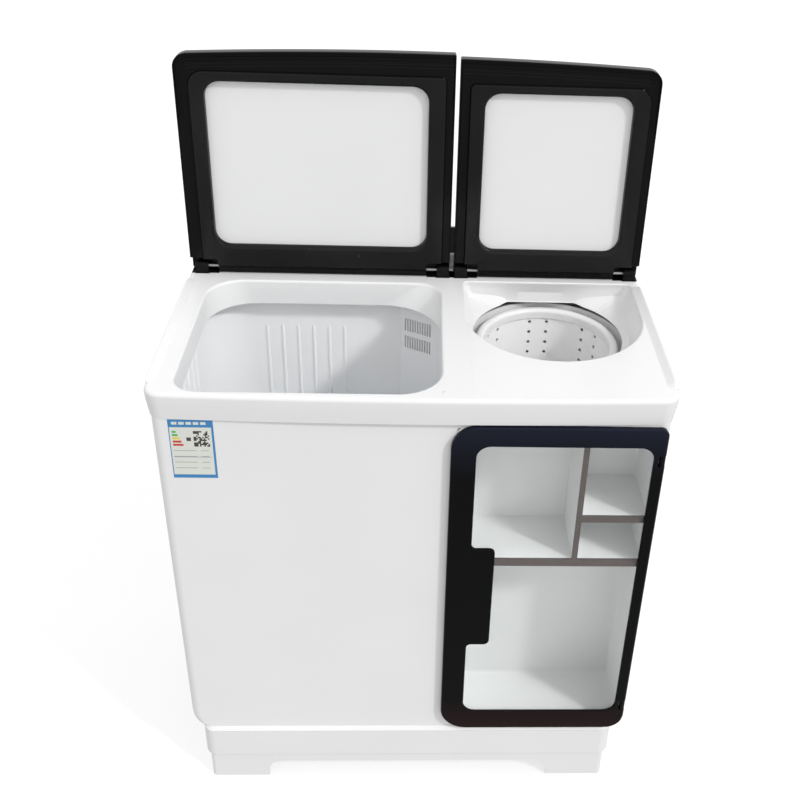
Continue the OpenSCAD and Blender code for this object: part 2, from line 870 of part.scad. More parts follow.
skin = 2.5;          // wall of the lid mouldings
lid_low = -5;        // underside of a lid's shell, from its axis
lid_tail = 10.5;     // how far a lid runs behind its axis
raised_h = 6;        // how far the frame stands proud of the underside
pane_z = 1;
pane_t = 3;

// Plan of a lid between x0 and x1: square at the gap, rounded at its outer free corner
module lid_plan(x0, x1, by) {
    bow = bow_radius(lid_outer_x, lid_crown);
    is_left = x0 < -lid_gap_x;
    length = is_left ? left_lid_len : right_lid_len;
    intersection() {
        rounded([x0 + by, -length + by], [x1 - by, lid_tail - by],
            is_left ? [22 - by, 3, 3, 3] : [3, 22 - by, 3, 3]);
        translate([0, bow - length]) circle(bow - by, $fn = 360);
    }
}

// A [x, s] corner pair as a rounded drawing in the lid's plane
module lid_window(box, by, r) {
    rounded([box[0].x - by, -box[1].y - by], [box[1].x + by, -box[0].y + by], all_round(r + by));
}

module hinge_notches(hinges) {
    for (h = hinges) {
        x0 = h[1] > 0 ? h[0] - notch_reach : h[0] - hinge_notch_w;
        translate([x0, -hinge_notch_len, -20])
            cube([hinge_notch_w + notch_reach, hinge_notch_len + 20, 60]);
    }
}

// Outer shell: a tray with a window, its rim turned down towards the deck
module lid_shell(x0, x1, window, hinges) {
    color("#202022") open_lid() difference() {
        union() {
            difference() {
                translate([0, 0, lid_low]) linear_extrude(lid_t) lid_plan(x0, x1, 0);
                translate([0, 0, lid_low - e]) linear_extrude(lid_t - skin + e) lid_plan(x0, x1, skin);
            }
            translate([0, 0, pane_z + pane_t]) linear_extrude(lid_low + lid_t - pane_z - pane_t)
                lid_window(window, skin, 26);
        }
        translate([0, 0, lid_low]) linear_extrude(lid_t + e) lid_window(window, 0, 26);
        hinge_notches(hinges);
    }
}

// Inner frame: an underside plate, a raised border round the window and the ears that hold the pins
module lid_frame(x0, x1, raised, window, hinges) {
    color("#202022") open_lid() difference() {
        union() {
            translate([0, 0, lid_low]) linear_extrude(skin) lid_plan(x0, x1, skin + gap);
            translate([0, 0, lid_low - raised_h]) linear_extrude(raised_h + e) lid_window(raised, 0, 25);
            translate([0, 0, lid_low]) linear_extrude(pane_z - lid_low) lid_window(window, skin, 26);
            for (h = hinges) translate([h[0] + h[1] * (hinge_notch_w + 8) - 8, -7, lid_low])
                cube([16, 7 + lid_tail - skin - gap, 9]);
        }
        translate([0, 0, lid_low - raised_h - e]) linear_extrude(lid_t) lid_window(window, 0, 26);
        hinge_notches(hinges);
        for (h = hinges) hinge_rod(h, lid_pin_r + snug);
    }
}

module hinge_rod(h, r) {
    translate([h[1] > 0 ? h[0] : h[0] - hinge_pin_len, 0, 0]) rotate([0, 90, 0])
        cylinder(r = r, h = hinge_pin_len);
}

module lid_pane(window) {
    color([0.9, 0.92, 0.92, 0.5]) open_lid() translate([0, 0, pane_z + 0.01]) linear_extrude(pane_t - 0.02)
        lid_window(window, skin - 0.01, 26);
}

module lid_pins(hinges) {
    color("silver") open_lid() for (h = hinges) hinge_rod(h, lid_pin_r);
}

// Blocks on the deck that the lids' pins turn in
module lid_hinge_blocks() {
    color("#202022") difference() {
        for (h = concat(left_hinges, right_hinges))
            translate([h[1] > 0 ? h[0] : h[0] - hinge_block_w, lid_axis_y - 8, deck_h])
                cube([hinge_block_w, 16, lid_axis_h + 8]);
        translate([-deck_w / 2, lid_axis_y, lid_axis_z]) rotate([0, 90, 0])
            cylinder(r = lid_pin_r + fit, h = deck_w);
    }
}

left_x = [-lid_outer_x - 1, lid_gap_x - 3];
right_x = [lid_gap_x + 4, lid_outer_x + 2];

module left_lid_shell() { lid_shell(left_x[0], left_x[1], left_window, left_hinges); }
module left_lid_frame() { lid_frame(left_x[0], left_x[1], left_raised, left_window, left_hinges); }
module left_lid_pane() { lid_pane(left_window); }
module left_lid_pins() { lid_pins(left_hinges); }
module right_lid_shell() { lid_shell(right_x[0], right_x[1], right_window, right_hinges); }
module right_lid_frame() { lid_frame(right_x[0], right_x[1], right_raised, right_window, right_hinges); }
module right_lid_pane() { lid_pane(right_window); }
module right_lid_pins() { lid_pins(right_hinges); }

module wash_timer_knob() { color("silver") knob(knob_xs[0]); }
module wash_mode_knob() { color("silver") knob(knob_xs[1]); }
module drain_knob() { color("silver") knob(knob_xs[2]); }
module spin_timer_knob() { color("silver") knob(knob_xs[3]); }

body_shell();
rear_panel();
rear_panel_screws();
base_plinth();
foot_pads();
top_deck();
console_housing();
console_fascia();
timer_units();
wash_tub();
overflow_filter_cover();
wash_bearing_housing();
wash_motor_body();
motor_bracket();
drive_belt();
spin_outer_tub();
spin_seal();
spin_motor_body();
spin_motor_springs();
storage_liner();
main_shelf();
shelf_divider();
small_shelf();
shelf_trims();
door_catch();
door_hinge_lugs();
lid_hinge_blocks();
drain_valve_body();
drain_outlet();
water_inlets();
cable_gland();
energy_label();
motor_capacitor();
left_lid_shell();
left_lid_frame();
left_lid_pane();
left_lid_pins();
right_lid_shell();
right_lid_frame();
right_lid_pane();
right_lid_pins();
door_frame();
door_window();
door_pins();
wash_timer_knob();
wash_mode_knob();
drain_knob();
spin_timer_knob();
pulsator();
pulsator_shaft();
driven_pulley();
wash_motor_shaft();
motor_pulley();
spin_basket();
balance_ring();
spin_shaft();
brake_drum();
brake_lever();
drain_plunger();
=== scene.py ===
"""Looks of a twin tub washing machine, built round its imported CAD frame.

Meshes are drawn in millimetres in the CAD's frame (+Z up, the machine faces -Y), and scaled to metres
when they become pieces.
"""

import json
import math
import random

import bmesh
import bpy
from mathutils import Matrix, Vector


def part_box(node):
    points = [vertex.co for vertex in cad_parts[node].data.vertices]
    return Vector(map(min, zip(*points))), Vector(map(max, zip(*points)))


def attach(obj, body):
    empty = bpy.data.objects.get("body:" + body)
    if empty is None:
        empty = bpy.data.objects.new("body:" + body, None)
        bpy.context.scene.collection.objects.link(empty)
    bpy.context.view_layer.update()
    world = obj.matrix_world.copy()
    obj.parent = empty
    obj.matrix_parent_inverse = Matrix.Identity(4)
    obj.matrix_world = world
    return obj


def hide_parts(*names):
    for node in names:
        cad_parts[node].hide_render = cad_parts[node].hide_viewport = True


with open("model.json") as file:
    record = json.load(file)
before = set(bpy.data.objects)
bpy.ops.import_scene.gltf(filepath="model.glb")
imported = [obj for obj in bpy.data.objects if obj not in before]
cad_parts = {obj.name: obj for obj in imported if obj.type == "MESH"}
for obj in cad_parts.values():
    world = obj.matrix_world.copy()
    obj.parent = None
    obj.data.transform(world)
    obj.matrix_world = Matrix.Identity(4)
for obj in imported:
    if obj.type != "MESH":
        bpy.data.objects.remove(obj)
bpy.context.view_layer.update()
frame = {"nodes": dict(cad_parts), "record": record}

MM = 0.001
WALL = 3.0          # wall of the big mouldings


def box_mm(node):
    lo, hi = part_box(node)
    return lo / MM, hi / MM


# ---- driving places, from the frame ----

DECK_LO, DECK_HI = box_mm("top_deck")
RIM_H = 6.0                                   # raised rims along the deck's sides
DECK_Z = DECK_HI.z - RIM_H
SKIRT_Z = DECK_Z - 46
LIP_Z = DECK_LO.z
FRONT = DECK_LO.y
BODY_LO, BODY_HI = box_mm("body_shell")
TUB_LO, TUB_HI = box_mm("wash_tub")
DOOR_LO, DOOR_HI = box_mm("door_frame")
BASKET_LO, BASKET_HI = box_mm("spin_basket")
RING_LO, RING_HI = box_mm("balance_ring")
SPIN = (BASKET_LO + BASKET_HI) / 2
PULSATOR_LO, PULSATOR_HI = box_mm("pulsator")
WASH = (PULSATOR_LO + PULSATOR_HI) / 2

LID_SWING = math.radians(91.5)
LID_AXIS = Vector((0, FRONT + 399, DECK_Z + 12))
LID_CROWN = 11.0                              # how far the free edges bow out, over both lids
LID_HALF = 392.5


# ---- outlines ----

def quarter_turns(steps):
    """Angles from nothing to a quarter turn."""
    return [math.pi / 2 * k / steps for k in range(steps + 1)]


def smooth_polygon(corners, radii, by=0.0, arc=8, side=1):
    """Points round a polygon of square corners, each rounded, the whole grown by a distance.

    Corners run anticlockwise. The number of points depends only on arc and side, so any two sizes can be
    lofted.
    """
    count = len(corners)
    arcs = []
    for i in range(count):
        here = Vector(corners[i])
        into = (here - Vector(corners[i - 1])).normalized()
        out = (Vector(corners[(i + 1) % count]) - here).normalized()
        turn = 1 if into.cross(out) > 0 else -1
        here += by * (Vector((into.y, -into.x)) + Vector((out.y, -out.x)))
        r = max(radii[i] + by * turn, 0.3)
        centre = here - into * r + out * r
        arcs.append([centre + r * (into * math.sin(a) - out * math.cos(a)) for a in quarter_turns(arc)])
    points = []
    for i in range(count):
        points += arcs[i]
        start, end = arcs[i][-1], arcs[(i + 1) % count][0]
        points += [start.lerp(end, k / side) for k in range(1, side)]
    return points


def rounded_box(lo, hi, radii, by=0.0, arc=8, side=1):
    """A rounded rectangle, with its corners in the order low, low right, high, high left."""
    if isinstance(radii, (int, float)):
        radii = [radii] * 4
    corners = [(lo[0], lo[1]), (hi[0], lo[1]), (hi[0], hi[1]), (lo[0], hi[1])]
    return smooth_polygon(corners, radii, by, arc, side)


def circle_points(centre, r, count=96):
    x, y = centre[0], centre[1]
    turns = [2 * math.pi * i / count for i in range(count)]
    return [Vector((x + r * math.cos(a), y + r * math.sin(a))) for a in turns]


def flat(points, z):
    """A plan outline at height z."""
    return [Vector((p[0], p[1], z)) for p in points]


def upright(points, y):
    """An outline in x and z, standing at depth y."""
    return [Vector((p[0], y, p[1])) for p in points]


def quarter(r, steps=5):
    """A quarter round of radius r as (across, down) pairs, from level to upright."""
    return [(r - r * math.sin(a), r - r * math.cos(a)) for a in quarter_turns(steps)]


def ease(low, high, value):
    """0 below low, 1 above high, and smooth between."""
    t = min(max((value - low) / (high - low), 0.0), 1.0)
    return t * t * (3 - 2 * t)


# ---- meshes ----

def loft(bm, rings, join_ends=False, closed=True):
    """Skins rings that have the same number of points, and returns their vertices."""
    grid = [[bm.verts.new(p) for p in ring] for ring in rings]
    pairs = list(zip(grid, grid[1:]))
    if join_ends:
        pairs.append((grid[-1], grid[0]))
    for low, high in pairs:
        count = len(low)
        for i in range(count if closed else count - 1):
            j = (i + 1) % count
            bm.faces.new((low[i], low[j], high[j], high[i]))
    return grid


def fill(bm, *loops):
    """Flat face inside the first loop of vertices, with the other loops as holes."""
    edges = []
    for loop in loops:
        for a, b in zip(loop, loop[1:] + loop[:1]):
            edges.append(bm.edges.get((a, b)) or bm.edges.new((a, b)))
    bmesh.ops.triangle_fill(bm, use_beauty=True, edges=edges)


def solid(rings):
    """A closed mesh: lofted rings with a cap on each end."""
    bm = bmesh.new()
    grid = loft(bm, rings)
    bm.faces.new(list(reversed(grid[0])))
    bm.faces.new(grid[-1])
    return bm


def prism(points, z0, z1):
    return solid([flat(points, z0), flat(points, z1)])


def block(lo, hi):
    return prism([(lo[0], lo[1]), (hi[0], lo[1]), (hi[0], hi[1]), (lo[0], hi[1])], lo[2], hi[2])


def as_data(bm, name):
    """A mesh as mesh data that objects can hold."""
    mesh = bpy.data.meshes.new(name)
    bm.to_mesh(mesh)
    bm.free()
    return mesh


def placed(name, data):
    """A new object in the scene."""
    obj = bpy.data.objects.new(name, data)
    bpy.context.scene.collection.objects.link(obj)
    return obj


def merged(parts):
    """Several meshes as one."""
    bm = bmesh.new()
    for part in parts:
        mesh = as_data(part, "part")
        bm.from_mesh(mesh)
        bpy.data.meshes.remove(mesh)
    return bm


def turned(bm, matrix):
    bmesh.ops.transform(bm, matrix=matrix, verts=bm.verts)
    return bm


def holder(bm, name):
    """A temporary object for a mesh, for work that needs modifiers."""
    bmesh.ops.recalc_face_normals(bm, faces=bm.faces)
    return placed(name, as_data(bm, name))


def evaluated(obj):
    """The mesh of a temporary object after its modifiers. The object is removed."""
    graph = bpy.context.evaluated_depsgraph_get()
    bm = bmesh.new()
    bm.from_object(obj, graph)
    bpy.data.objects.remove(obj)
    return bm


def thickened(bm, thickness, side=-1):
    """A sheet given a wall, on its inner side unless side is 1."""
    bmesh.ops.remove_doubles(bm, verts=bm.verts, dist=0.001)
    obj = holder(bm, "sheet")
    wall = obj.modifiers.new("wall", "SOLIDIFY")
    wall.thickness = thickness
    wall.offset = side
    wall.use_even_offset = True
    return evaluated(obj)


def carved(bm, cutter):
    """A closed mesh with another cut out of it."""
    bmesh.ops.remove_doubles(bm, verts=bm.verts, dist=0.001)
    target = holder(bm, "target")
    tool = holder(cutter, "tool")
    cut = target.modifiers.new("cut", "BOOLEAN")
    cut.operation = "DIFFERENCE"
    cut.solver = "EXACT"
    cut.object = tool
    result = evaluated(target)
    bpy.data.objects.remove(tool)
    return result


def lathe(profile, centre, count=128):
    """A closed ring section turned about an upright axis. profile is (radius, z) pairs round the section."""
    bm = bmesh.new()
    rings = [flat(circle_points(centre, max(r, 0.05), count), z) for r, z in profile]
    loft(bm, rings, join_ends=True)
    return bm


def piece(name, bm, body, slot, replaced=(), looks=None, crease=32, bevel=0.0, segments=2):
    """Turns a mesh in millimetres into a named piece that rides on a body and stands for some CAD nodes.

    It wears its slot's own material unless a list of others is given.
    """
    bmesh.ops.remove_doubles(bm, verts=bm.verts, dist=0.001)
    bmesh.ops.recalc_face_normals(bm, faces=bm.faces)
    mesh = as_data(bm, name)
    mesh.transform(Matrix.Scale(MM, 4))
    for look in looks or [LOOKS[slot]]:
        mesh.materials.append(look)
    obj = placed(name, mesh)
    soften(obj, bevel, segments, crease)
    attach(obj, body)
    if replaced:
        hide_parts(*replaced)


def soften(obj, bevel, segments=2, crease=32):
    """Rounds an object's edges and evens out its shading."""
    for face in obj.data.polygons:
        face.use_smooth = True
    if bevel:
        rounding = obj.modifiers.new("rounded edges", "BEVEL")
        rounding.width = bevel * MM
        rounding.segments = segments
        rounding.limit_method = "ANGLE"
        rounding.angle_limit = math.radians(crease)
    else:
        obj.data.set_sharp_from_angle(angle=math.radians(crease))
    shading = obj.modifiers.new("even shading", "WEIGHTED_NORMAL")
    shading.keep_sharp = True


# ---- materials ----

def feed(tree, target, values):
    """Sets a node's inputs, each to a value or to another node's output."""
    for name, value in values.items():
        if isinstance(value, bpy.types.NodeSocket):
            tree.links.new(value, target.inputs[name])
        else:
            target.inputs[name].default_value = value


def node(tree, kind, values=()):
    """A new shader node with some of its inputs set."""
    made = tree.nodes.new("ShaderNode" + kind)
    feed(tree, made, dict(values))
    return made


def noise(tree, scale, detail, stretch=(1, 1, 1)):
    """Noise over the piece's own coordinates. Scale is in waves a metre."""
    place = node(tree, "TexCoord").outputs["Object"]
    spread = node(tree, "Mapping", {"Vector": place, "Scale": stretch}).outputs["Vector"]
    return node(tree, "TexNoise", {"Vector": spread, "Scale": scale, "Detail": detail}).outputs["Fac"]


def upward(tree):
    """Height over a piece, from 0 at its foot to 1 at its top. Over a world, it's a direction's rise."""
    return node(tree, "SeparateXYZ", {"Vector": node(tree, "TexCoord").outputs["Generated"]}).outputs["Z"]


def between(tree, factor, low, high, start=0.3, end=0.7):
    """A number that runs from low to high as a factor goes from start to end."""
    values = {"Value": factor, "From Min": start, "From Max": end, "To Min": low, "To Max": high}
    return node(tree, "MapRange", values).outputs["Result"]


def shade(tree, factor, low, high):
    """A colour that runs from low to high with a factor."""
    ramp = node(tree, "ValToRGB", {"Fac": factor})
    for stop, position, color in zip(ramp.color_ramp.elements, (0.3, 0.7), (low, high)):
        stop.position = position
        stop.color = (*color, 1)
    return ramp.outputs["Color"]


def bump(tree, height, distance, strength, below=None):
    values = {"Height": height, "Distance": distance, "Strength": strength}
    if below is not None:
        values["Normal"] = below
    return node(tree, "Bump", values).outputs["Normal"]


def surface(name, color, rough, spread=0.03, rough_spread=0.05, grain=700, grain_height=0.00002, metallic=0.0,
            specular=0.5, stretch=(1, 1, 1)):
    """A surface whose colour drifts and whose gloss varies, with a fine grain and a slow waviness."""
    made = bpy.data.materials.new(name)
    made.use_nodes = True
    tree = made.node_tree
    darker = tuple(c * (1 - spread) for c in color)
    lighter = tuple(min(c * (1 + spread), 1) for c in color)
    low, high = max(rough - rough_spread, 0.02), rough + rough_spread
    wave = bump(tree, noise(tree, 9, 1), 0.0006, 0.25)
    feed(tree, tree.nodes["Principled BSDF"], {
        "Base Color": shade(tree, noise(tree, 6, 4), darker, lighter),
        "Roughness": between(tree, noise(tree, 35, 5, stretch), low, high),
        "Metallic": metallic,
        "Specular IOR Level": specular,
        "Normal": bump(tree, noise(tree, grain, 2, stretch), grain_height, 1.0, wave),
    })
    return made


def clear_glass(name):
    """Clear glass that lets lamp light straight through to what stands behind it."""
    made = surface(name, (0.97, 0.985, 0.98), 0.03, 0.005, 0.01, grain_height=0.000002)
    tree = made.node_tree
    shader = tree.nodes["Principled BSDF"]
    feed(tree, shader, {"Transmission Weight": 1.0, "IOR": 1.45})
    lit = node(tree, "LightPath").outputs["Is Shadow Ray"]
    clear = node(tree, "BsdfTransparent", {"Color": (0.95, 0.96, 0.96, 1)})
    mix = node(tree, "MixShader", {0: lit, 1: shader.outputs["BSDF"], 2: clear.outputs["BSDF"]})
    feed(tree, tree.nodes["Material Output"], {"Surface": mix.outputs["Shader"]})
    return made


def door_black_painted_top_reflection():
    """The door's black moulding, with a bluish painted reflection at its top, turning brown towards its foot.
    """
    made = surface("door_moulding_painted_top_reflection", (0.004, 0.004, 0.0045), 0.12, 0.15, 0.04, specular=0.08,
                   grain_height=0.000003)
    tree = made.node_tree
    ramp = node(tree, "ValToRGB", {"Fac": upward(tree)})
    # The blue stop is a painted reflection along the door's top edge; the brown stop only tints its foot.
    brown, black, blue = (0.018, 0.008, 0.008, 1), (0.0035, 0.0035, 0.004, 1), (0.012, 0.014, 0.026, 1)
    stops = ramp.color_ramp.elements
    stops[0].color = brown
    stops[1].color = blue
    for at in (0.12, 0.86):
        stops.new(at).color = black
    feed(tree, tree.nodes["Principled BSDF"], {"Base Color": ramp.outputs["Color"]})
    return made


def make_looks():
    """Every material, by the record's slot name or by what it is for."""
    return {
        "white_plastic": surface("white_moulding", (0.81, 0.81, 0.81), 0.34, 0.012, grain_height=0.000012),
        "tub_plastic": surface("tub_moulding", (0.95, 0.95, 0.95), 0.36, 0.015, grain_height=0.000015),
        "black_gloss": surface("black_moulding", (0.0045, 0.0045, 0.0045), 0.12, 0.15, 0.04, specular=0.12,
                               grain_height=0.000003),
        "pane": surface("frosted_pane", (0.82, 0.82, 0.82), 0.42, 0.008, 0.04, grain=1400,
                        grain_height=0.00004),
        "door_glass": clear_glass("clear_window"),
        "steel": surface("brushed_steel", (0.4, 0.4, 0.405), 0.42, 0.05, 0.08, metallic=1.0,
                         stretch=(0.1, 1, 1)),
        "grey_plastic": surface("grey_moulding", (0.16, 0.16, 0.165), 0.5, 0.06),
        "rubber": surface("rubber", (0.02, 0.02, 0.021), 0.75, 0.15, grain_height=0.00005),
        "trim": surface("brown_edging", (0.045, 0.022, 0.018), 0.35, 0.1),
        "motor_paint": surface("motor_paint", (0.07, 0.075, 0.08), 0.45, 0.1),
        "zinc": surface("cast_zinc", (0.5, 0.5, 0.51), 0.42, 0.06, 0.1, metallic=1.0, grain_height=0.00006),
        "knob_silver": surface("silver_moulding", (0.55, 0.56, 0.57), 0.28, 0.03, metallic=0.6),
        "pulsator_blue": surface("pulsator_moulding", (0.2, 0.38, 0.6), 0.35, 0.03),
        "rear_panel": surface("rear_sheet", (0.62, 0.62, 0.625), 0.5, 0.03, grain_height=0.00005),
        "drum": surface("drum_moulding", (0.95, 0.95, 0.95), 0.33, 0.012),
        "housing": surface("housing_moulding", (0.72, 0.72, 0.722), 0.4, 0.03),
        "door": door_black_painted_top_reflection(),
        # A lighter black than black_gloss, painted as sheen on the lids' raised frames; its rougher gloss is
        # the moulding's own.
        "raised_frame_painted_sheen": surface("raised_frame_painted_sheen_moulding", (0.009, 0.009, 0.0092), 0.2, 0.35, 0.08, specular=0.2,
                             grain_height=0.000003),
        "marks": surface("dial_ink", (0.75, 0.75, 0.75), 0.5, 0.04),
    }


INKS = {"blue": (0.045, 0.23, 0.5), "cream": (0.72, 0.74, 0.68), "dark": (0.06, 0.05, 0.05),
        "green": (0.1, 0.45, 0.12), "yellow": (0.8, 0.62, 0.05), "red": (0.6, 0.05, 0.03),
        "grey": (0.35, 0.37, 0.38)}


def label_inks():
    """The energy label's inks, in the order that its tiles number them."""
    return [surface("label_ink_" + name, color, 0.45, 0.04, grain_height=0.000005)
            for name, color in INKS.items()]


LOOKS = make_looks()


# ---- deck cover ----

OPENING_LO = (TUB_LO.x + WALL + 15, FRONT + 18)
OPENING_HI = (TUB_HI.x - WALL - 7, FRONT + 367)
OPENING_RADII = [38, 66, 40, 60]
LIP_RADII = [38, 66, 100, 80]                 # the lip's lower edge is rounder at its back corners
RECESS_R = 147.0
RECESS_AT = (230.0, FRONT + 264)
RECESS_BACK = FRONT + 378
RECESS_LEAN = 22.0
RECESS_FLOOR = LIP_Z + WALL
HOLE_RADIUS = 127.0
SPIN_BACK = 118.0                             # the bay's straight back, from the basket's axis
BAY_HALF = 27.0                               # half the bay's angle, in degrees
BAY_EASE = 9.0                                # degrees over which its ends slope back to the round
DECK_CROWN = 8.0


def deck_outline(inset):
    """Plan of the cover, with a bowed front."""
    half = DECK_HI.x
    points = rounded_box((-half, FRONT), (half, DECK_HI.y), 25, -inset, arc=8, side=14)
    depth = DECK_HI.y - FRONT
    return [Vector((p.x, p.y + DECK_CROWN * (p.x / half) ** 2 * (DECK_HI.y - p.y) / depth)) for p in points]


def opening_outline(by, z):
    """Plan of the wash opening at a height, rounder at the back corners towards the lip's lower edge."""
    share = (DECK_Z - z) / (DECK_Z - LIP_Z)
    radii = [top + (low - top) * share for top, low in zip(OPENING_RADII, LIP_RADII)]
    return rounded_box(OPENING_LO, OPENING_HI, radii, by, arc=12, side=4)


def recess_outline(by, z):
    """Plan of the spin recess at a height, round at the front. Its back wall leans out towards its foot."""
    depth = (DECK_Z - z) / (DECK_Z - RECESS_FLOOR)
    back = RECESS_BACK + RECESS_LEAN * depth
    lo = (RECESS_AT[0] - RECESS_R, RECESS_AT[1] - RECESS_R)
    hi = (RECESS_AT[0] + RECESS_R, back)
    return rounded_box(lo, hi, [RECESS_R - 0.5, RECESS_R - 0.5, 10, 10], by, arc=24, side=48)


def hole_radius(angle):
    """Radius of the hole in the recess floor at an angle from straight back. It has a straight-backed bay."""
    reach = abs(math.degrees(angle))
    back = SPIN_BACK / math.cos(math.radians(min(reach, BAY_HALF)))
    return HOLE_RADIUS + (back - HOLE_RADIUS) * (1 - min(max((reach - BAY_HALF) / BAY_EASE, 0), 1))


def levelled(values, step):
    """Values round a ring, lowered until no two neighbours differ by more than a step."""
    count = len(values)
    for k in range(2 * count):
        values[k % count] = min(values[k % count], values[(k - 1) % count] + step)
    for k in reversed(range(2 * count)):
        values[(k - 1) % count] = min(values[(k - 1) % count], values[k % count] + step)
    return values


def recess_rings():
    """Rings down the spin recess to its hole. The wall's foot is rounded as widely as the floor allows."""
    rings = [flat(recess_outline(across, DECK_Z - down), DECK_Z - down) for across, down in quarter(4.0)]
    height = DECK_Z - RECESS_FLOOR
    top, foot = recess_outline(0, DECK_Z), recess_outline(0, RECESS_FLOOR)
    rays = [(p - Vector((SPIN.x, SPIN.y))) for p in foot]
    edges = [hole_radius(math.atan2(-ray.x, ray.y)) for ray in rays]
    widths = levelled([min(max(ray.length - edge - 1.5, 3.0), 22.0) for ray, edge in zip(rays, edges)], 0.6)
    for up, across in [(1.6, 0.0)] + [(up, across) for across, up in quarter(1.0, 6)]:
        ring = []
        for low, high, ray, width in zip(foot, top, rays, widths):
            place = low.lerp(high, width * up / height) - ray.normalized() * width * across
            ring.append(Vector((place.x, place.y, RECESS_FLOOR + width * up)))
        rings.append(ring)
    for by, down in [(1.2, 0.0), (0.3, 0.5), (0.0, 1.5)]:
        around = [ray.normalized() * (edge + by) for ray, edge in zip(rays, edges)]
        rings.append([Vector((SPIN.x + p.x, SPIN.y + p.y, RECESS_FLOOR - down)) for p in around])
    return rings


def deck_sheet():
    """The cover's outer skin: skirt, top, the wash opening's lip and the spin recess."""
    bm = bmesh.new()
    skirt = [(4.5, SKIRT_Z), (3.2, SKIRT_Z + 10), (0.9, SKIRT_Z + 26)]
    edge = [(inset, DECK_Z - down) for inset, down in reversed(quarter(6.5))]
    outer = loft(bm, [flat(deck_outline(inset), z) for inset, z in skirt + edge])
    roll = quarter(4.0)
    lip = [(by, DECK_Z - down) for by, down in roll] + [(0, LIP_Z + 24), (0.6, LIP_Z + 1.2), (1.4, LIP_Z)]
    opening = loft(bm, [flat(opening_outline(by, z), z) for by, z in lip])
    recess = loft(bm, recess_rings())
    fill(bm, outer[-1], opening[0], recess[0])
    return bm


def side_rim(side):
    """Raised rim along one side of the deck, sloping down to the deck on its inner side."""
    crown = [(-15, 0), (-9, 0.45), (-5, 0.88), (-3.2, 1), (-1.6, 1), (-0.4, 0.85), (0, 0.55)]

    def section(y, share):
        across = [(dx, RIM_H * share * up) for dx, up in crown] + [(0, -WALL), (-15, -WALL)]
        return [Vector((side * (DECK_HI.x + dx), y, DECK_Z + up)) for dx, up in across]

    ends = [(FRONT + 40, 0.02), (FRONT + 46, 0.5), (FRONT + 56, 1)]
    tail = [(FRONT + 350, 1), (FRONT + 366, 0.5), (FRONT + 370, 0.02)]
    bow = [(FRONT + 56 + 290 * k / 6, 1) for k in range(1, 6)]
    return solid([section(y, share) for y, share in ends + bow + tail])


def deck_cover():
    sheet = thickened(deck_sheet(), WALL)
    crease_x = RECESS_AT[0] - RECESS_R + 4
    crease = block((crease_x - 0.7, FRONT + 14, DECK_Z - 0.3),
                   (crease_x + 0.7, RECESS_AT[1] - 40, DECK_Z + 0.25))
    bm = merged([sheet, side_rim(-1), side_rim(1), crease])
    piece("deck_cover", bm, "cabinet", "white_plastic", ["top_deck"])
    button = [(r, DECK_Z + up) for r, up in [(0, -0.5), (3.2, -0.5), (3.2, 0.5), (2.2, 1.2), (0, 1.4)]]
    bm = lathe(button, (43.5, FRONT + 22), 32)
    piece("deck_button", bm, "cabinet", "tub_plastic", looks=[LOOKS["housing"]])


# ---- body and base ----

STORE_LO, STORE_HI = box_mm("storage_liner")
BODY_TAPER = 3.5
BODY_R = 16.0
CURL_W = 17.0         # the body's sides curl in to the base over their last stretch
CURL_H = 34.0


def body_path(z, inset=0.0):
    """Plan of the body's skin from its back left edge round to its back right one, at a height."""
    share = (z - BODY_LO.z) / (BODY_HI.z - BODY_LO.z)
    curl = max(1 - (z - BODY_LO.z) / CURL_H, 0)
    half = BODY_HI.x - BODY_TAPER * (1 - share) - inset - CURL_W * (1 - math.sqrt(1 - curl * curl))
    front = BODY_LO.y + inset
    left = [(-half + across, front + down) for down, across in quarter(BODY_R, 8)]
    right = [(-x, y) for x, y in reversed(left)]
    path = [(-half, BODY_HI.y), *left, *right, (half, BODY_HI.y)]
    return flat(path, z)


def body_skin():
    bm = bmesh.new()
    curled = [BODY_LO.z + CURL_H * (1 - math.cos(a)) for a in quarter_turns(8)[1:]]
    levels = [(BODY_LO.z, 1.6), (BODY_LO.z + 0.4, 0.4)] + [(z, 0) for z in curled] + [(BODY_HI.z, 0)]
    loft(bm, [body_path(z, inset) for z, inset in levels], closed=False)
    return bm


def body_panel():
    mouth = rounded_box((STORE_LO.x, STORE_LO.z), (STORE_HI.x, STORE_HI.z), 4, 0.3)
    cutter = solid([upright(mouth, y) for y in (BODY_LO.y - 5, BODY_LO.y + 8)])
    bm = carved(thickened(body_skin(), WALL), cutter)
    piece("body_panel", bm, "cabinet", "white_plastic", ["body_shell"])


BASE_LO, BASE_HI = box_mm("base_plinth")
BASE_OUT = 2.5        # the moulding's draft carries its sides out this far past the CAD's straight ones
TIER_IN = (8.0, 3.0)  # how far the lower tier stands in at the sides, and at the front and back
STEP_Z = 60.0
FOOT_W = 101.0
ARCH_H = 40.0


def base_outline(inset, lower):
    """Plan of one of the base's two tiers."""
    drop = TIER_IN if lower else (0, 0)
    lo = (BASE_LO.x - BASE_OUT + drop[0], BASE_LO.y + drop[1])
    hi = (BASE_HI.x + BASE_OUT - drop[0], BASE_HI.y - drop[1])
    return rounded_box(lo, hi, 8 if lower else 20, -inset, arc=8, side=4)


def base_skin():
    bm = bmesh.new()
    low = BASE_LO.z
    levels = [(0, low, True), (0, STEP_Z - 2, True), (-1.2, STEP_Z - 0.4, True), (2.2, STEP_Z, False),
              (0.5, STEP_Z + 0.8, False), (0, STEP_Z + 2.5, False), (0, BASE_HI.z - 7.4, False),
              (2.8, BASE_HI.z - 7.2, False), (2.8, BASE_HI.z - 6.4, False), (0, BASE_HI.z - 6.2, False),
              (0.8, BASE_HI.z - 5.2, False), (6.2, BASE_HI.z, False)]
    grid = loft(bm, [flat(base_outline(inset, tier), z) for inset, z, tier in levels])
    bm.faces.new(grid[-1])
    return bm


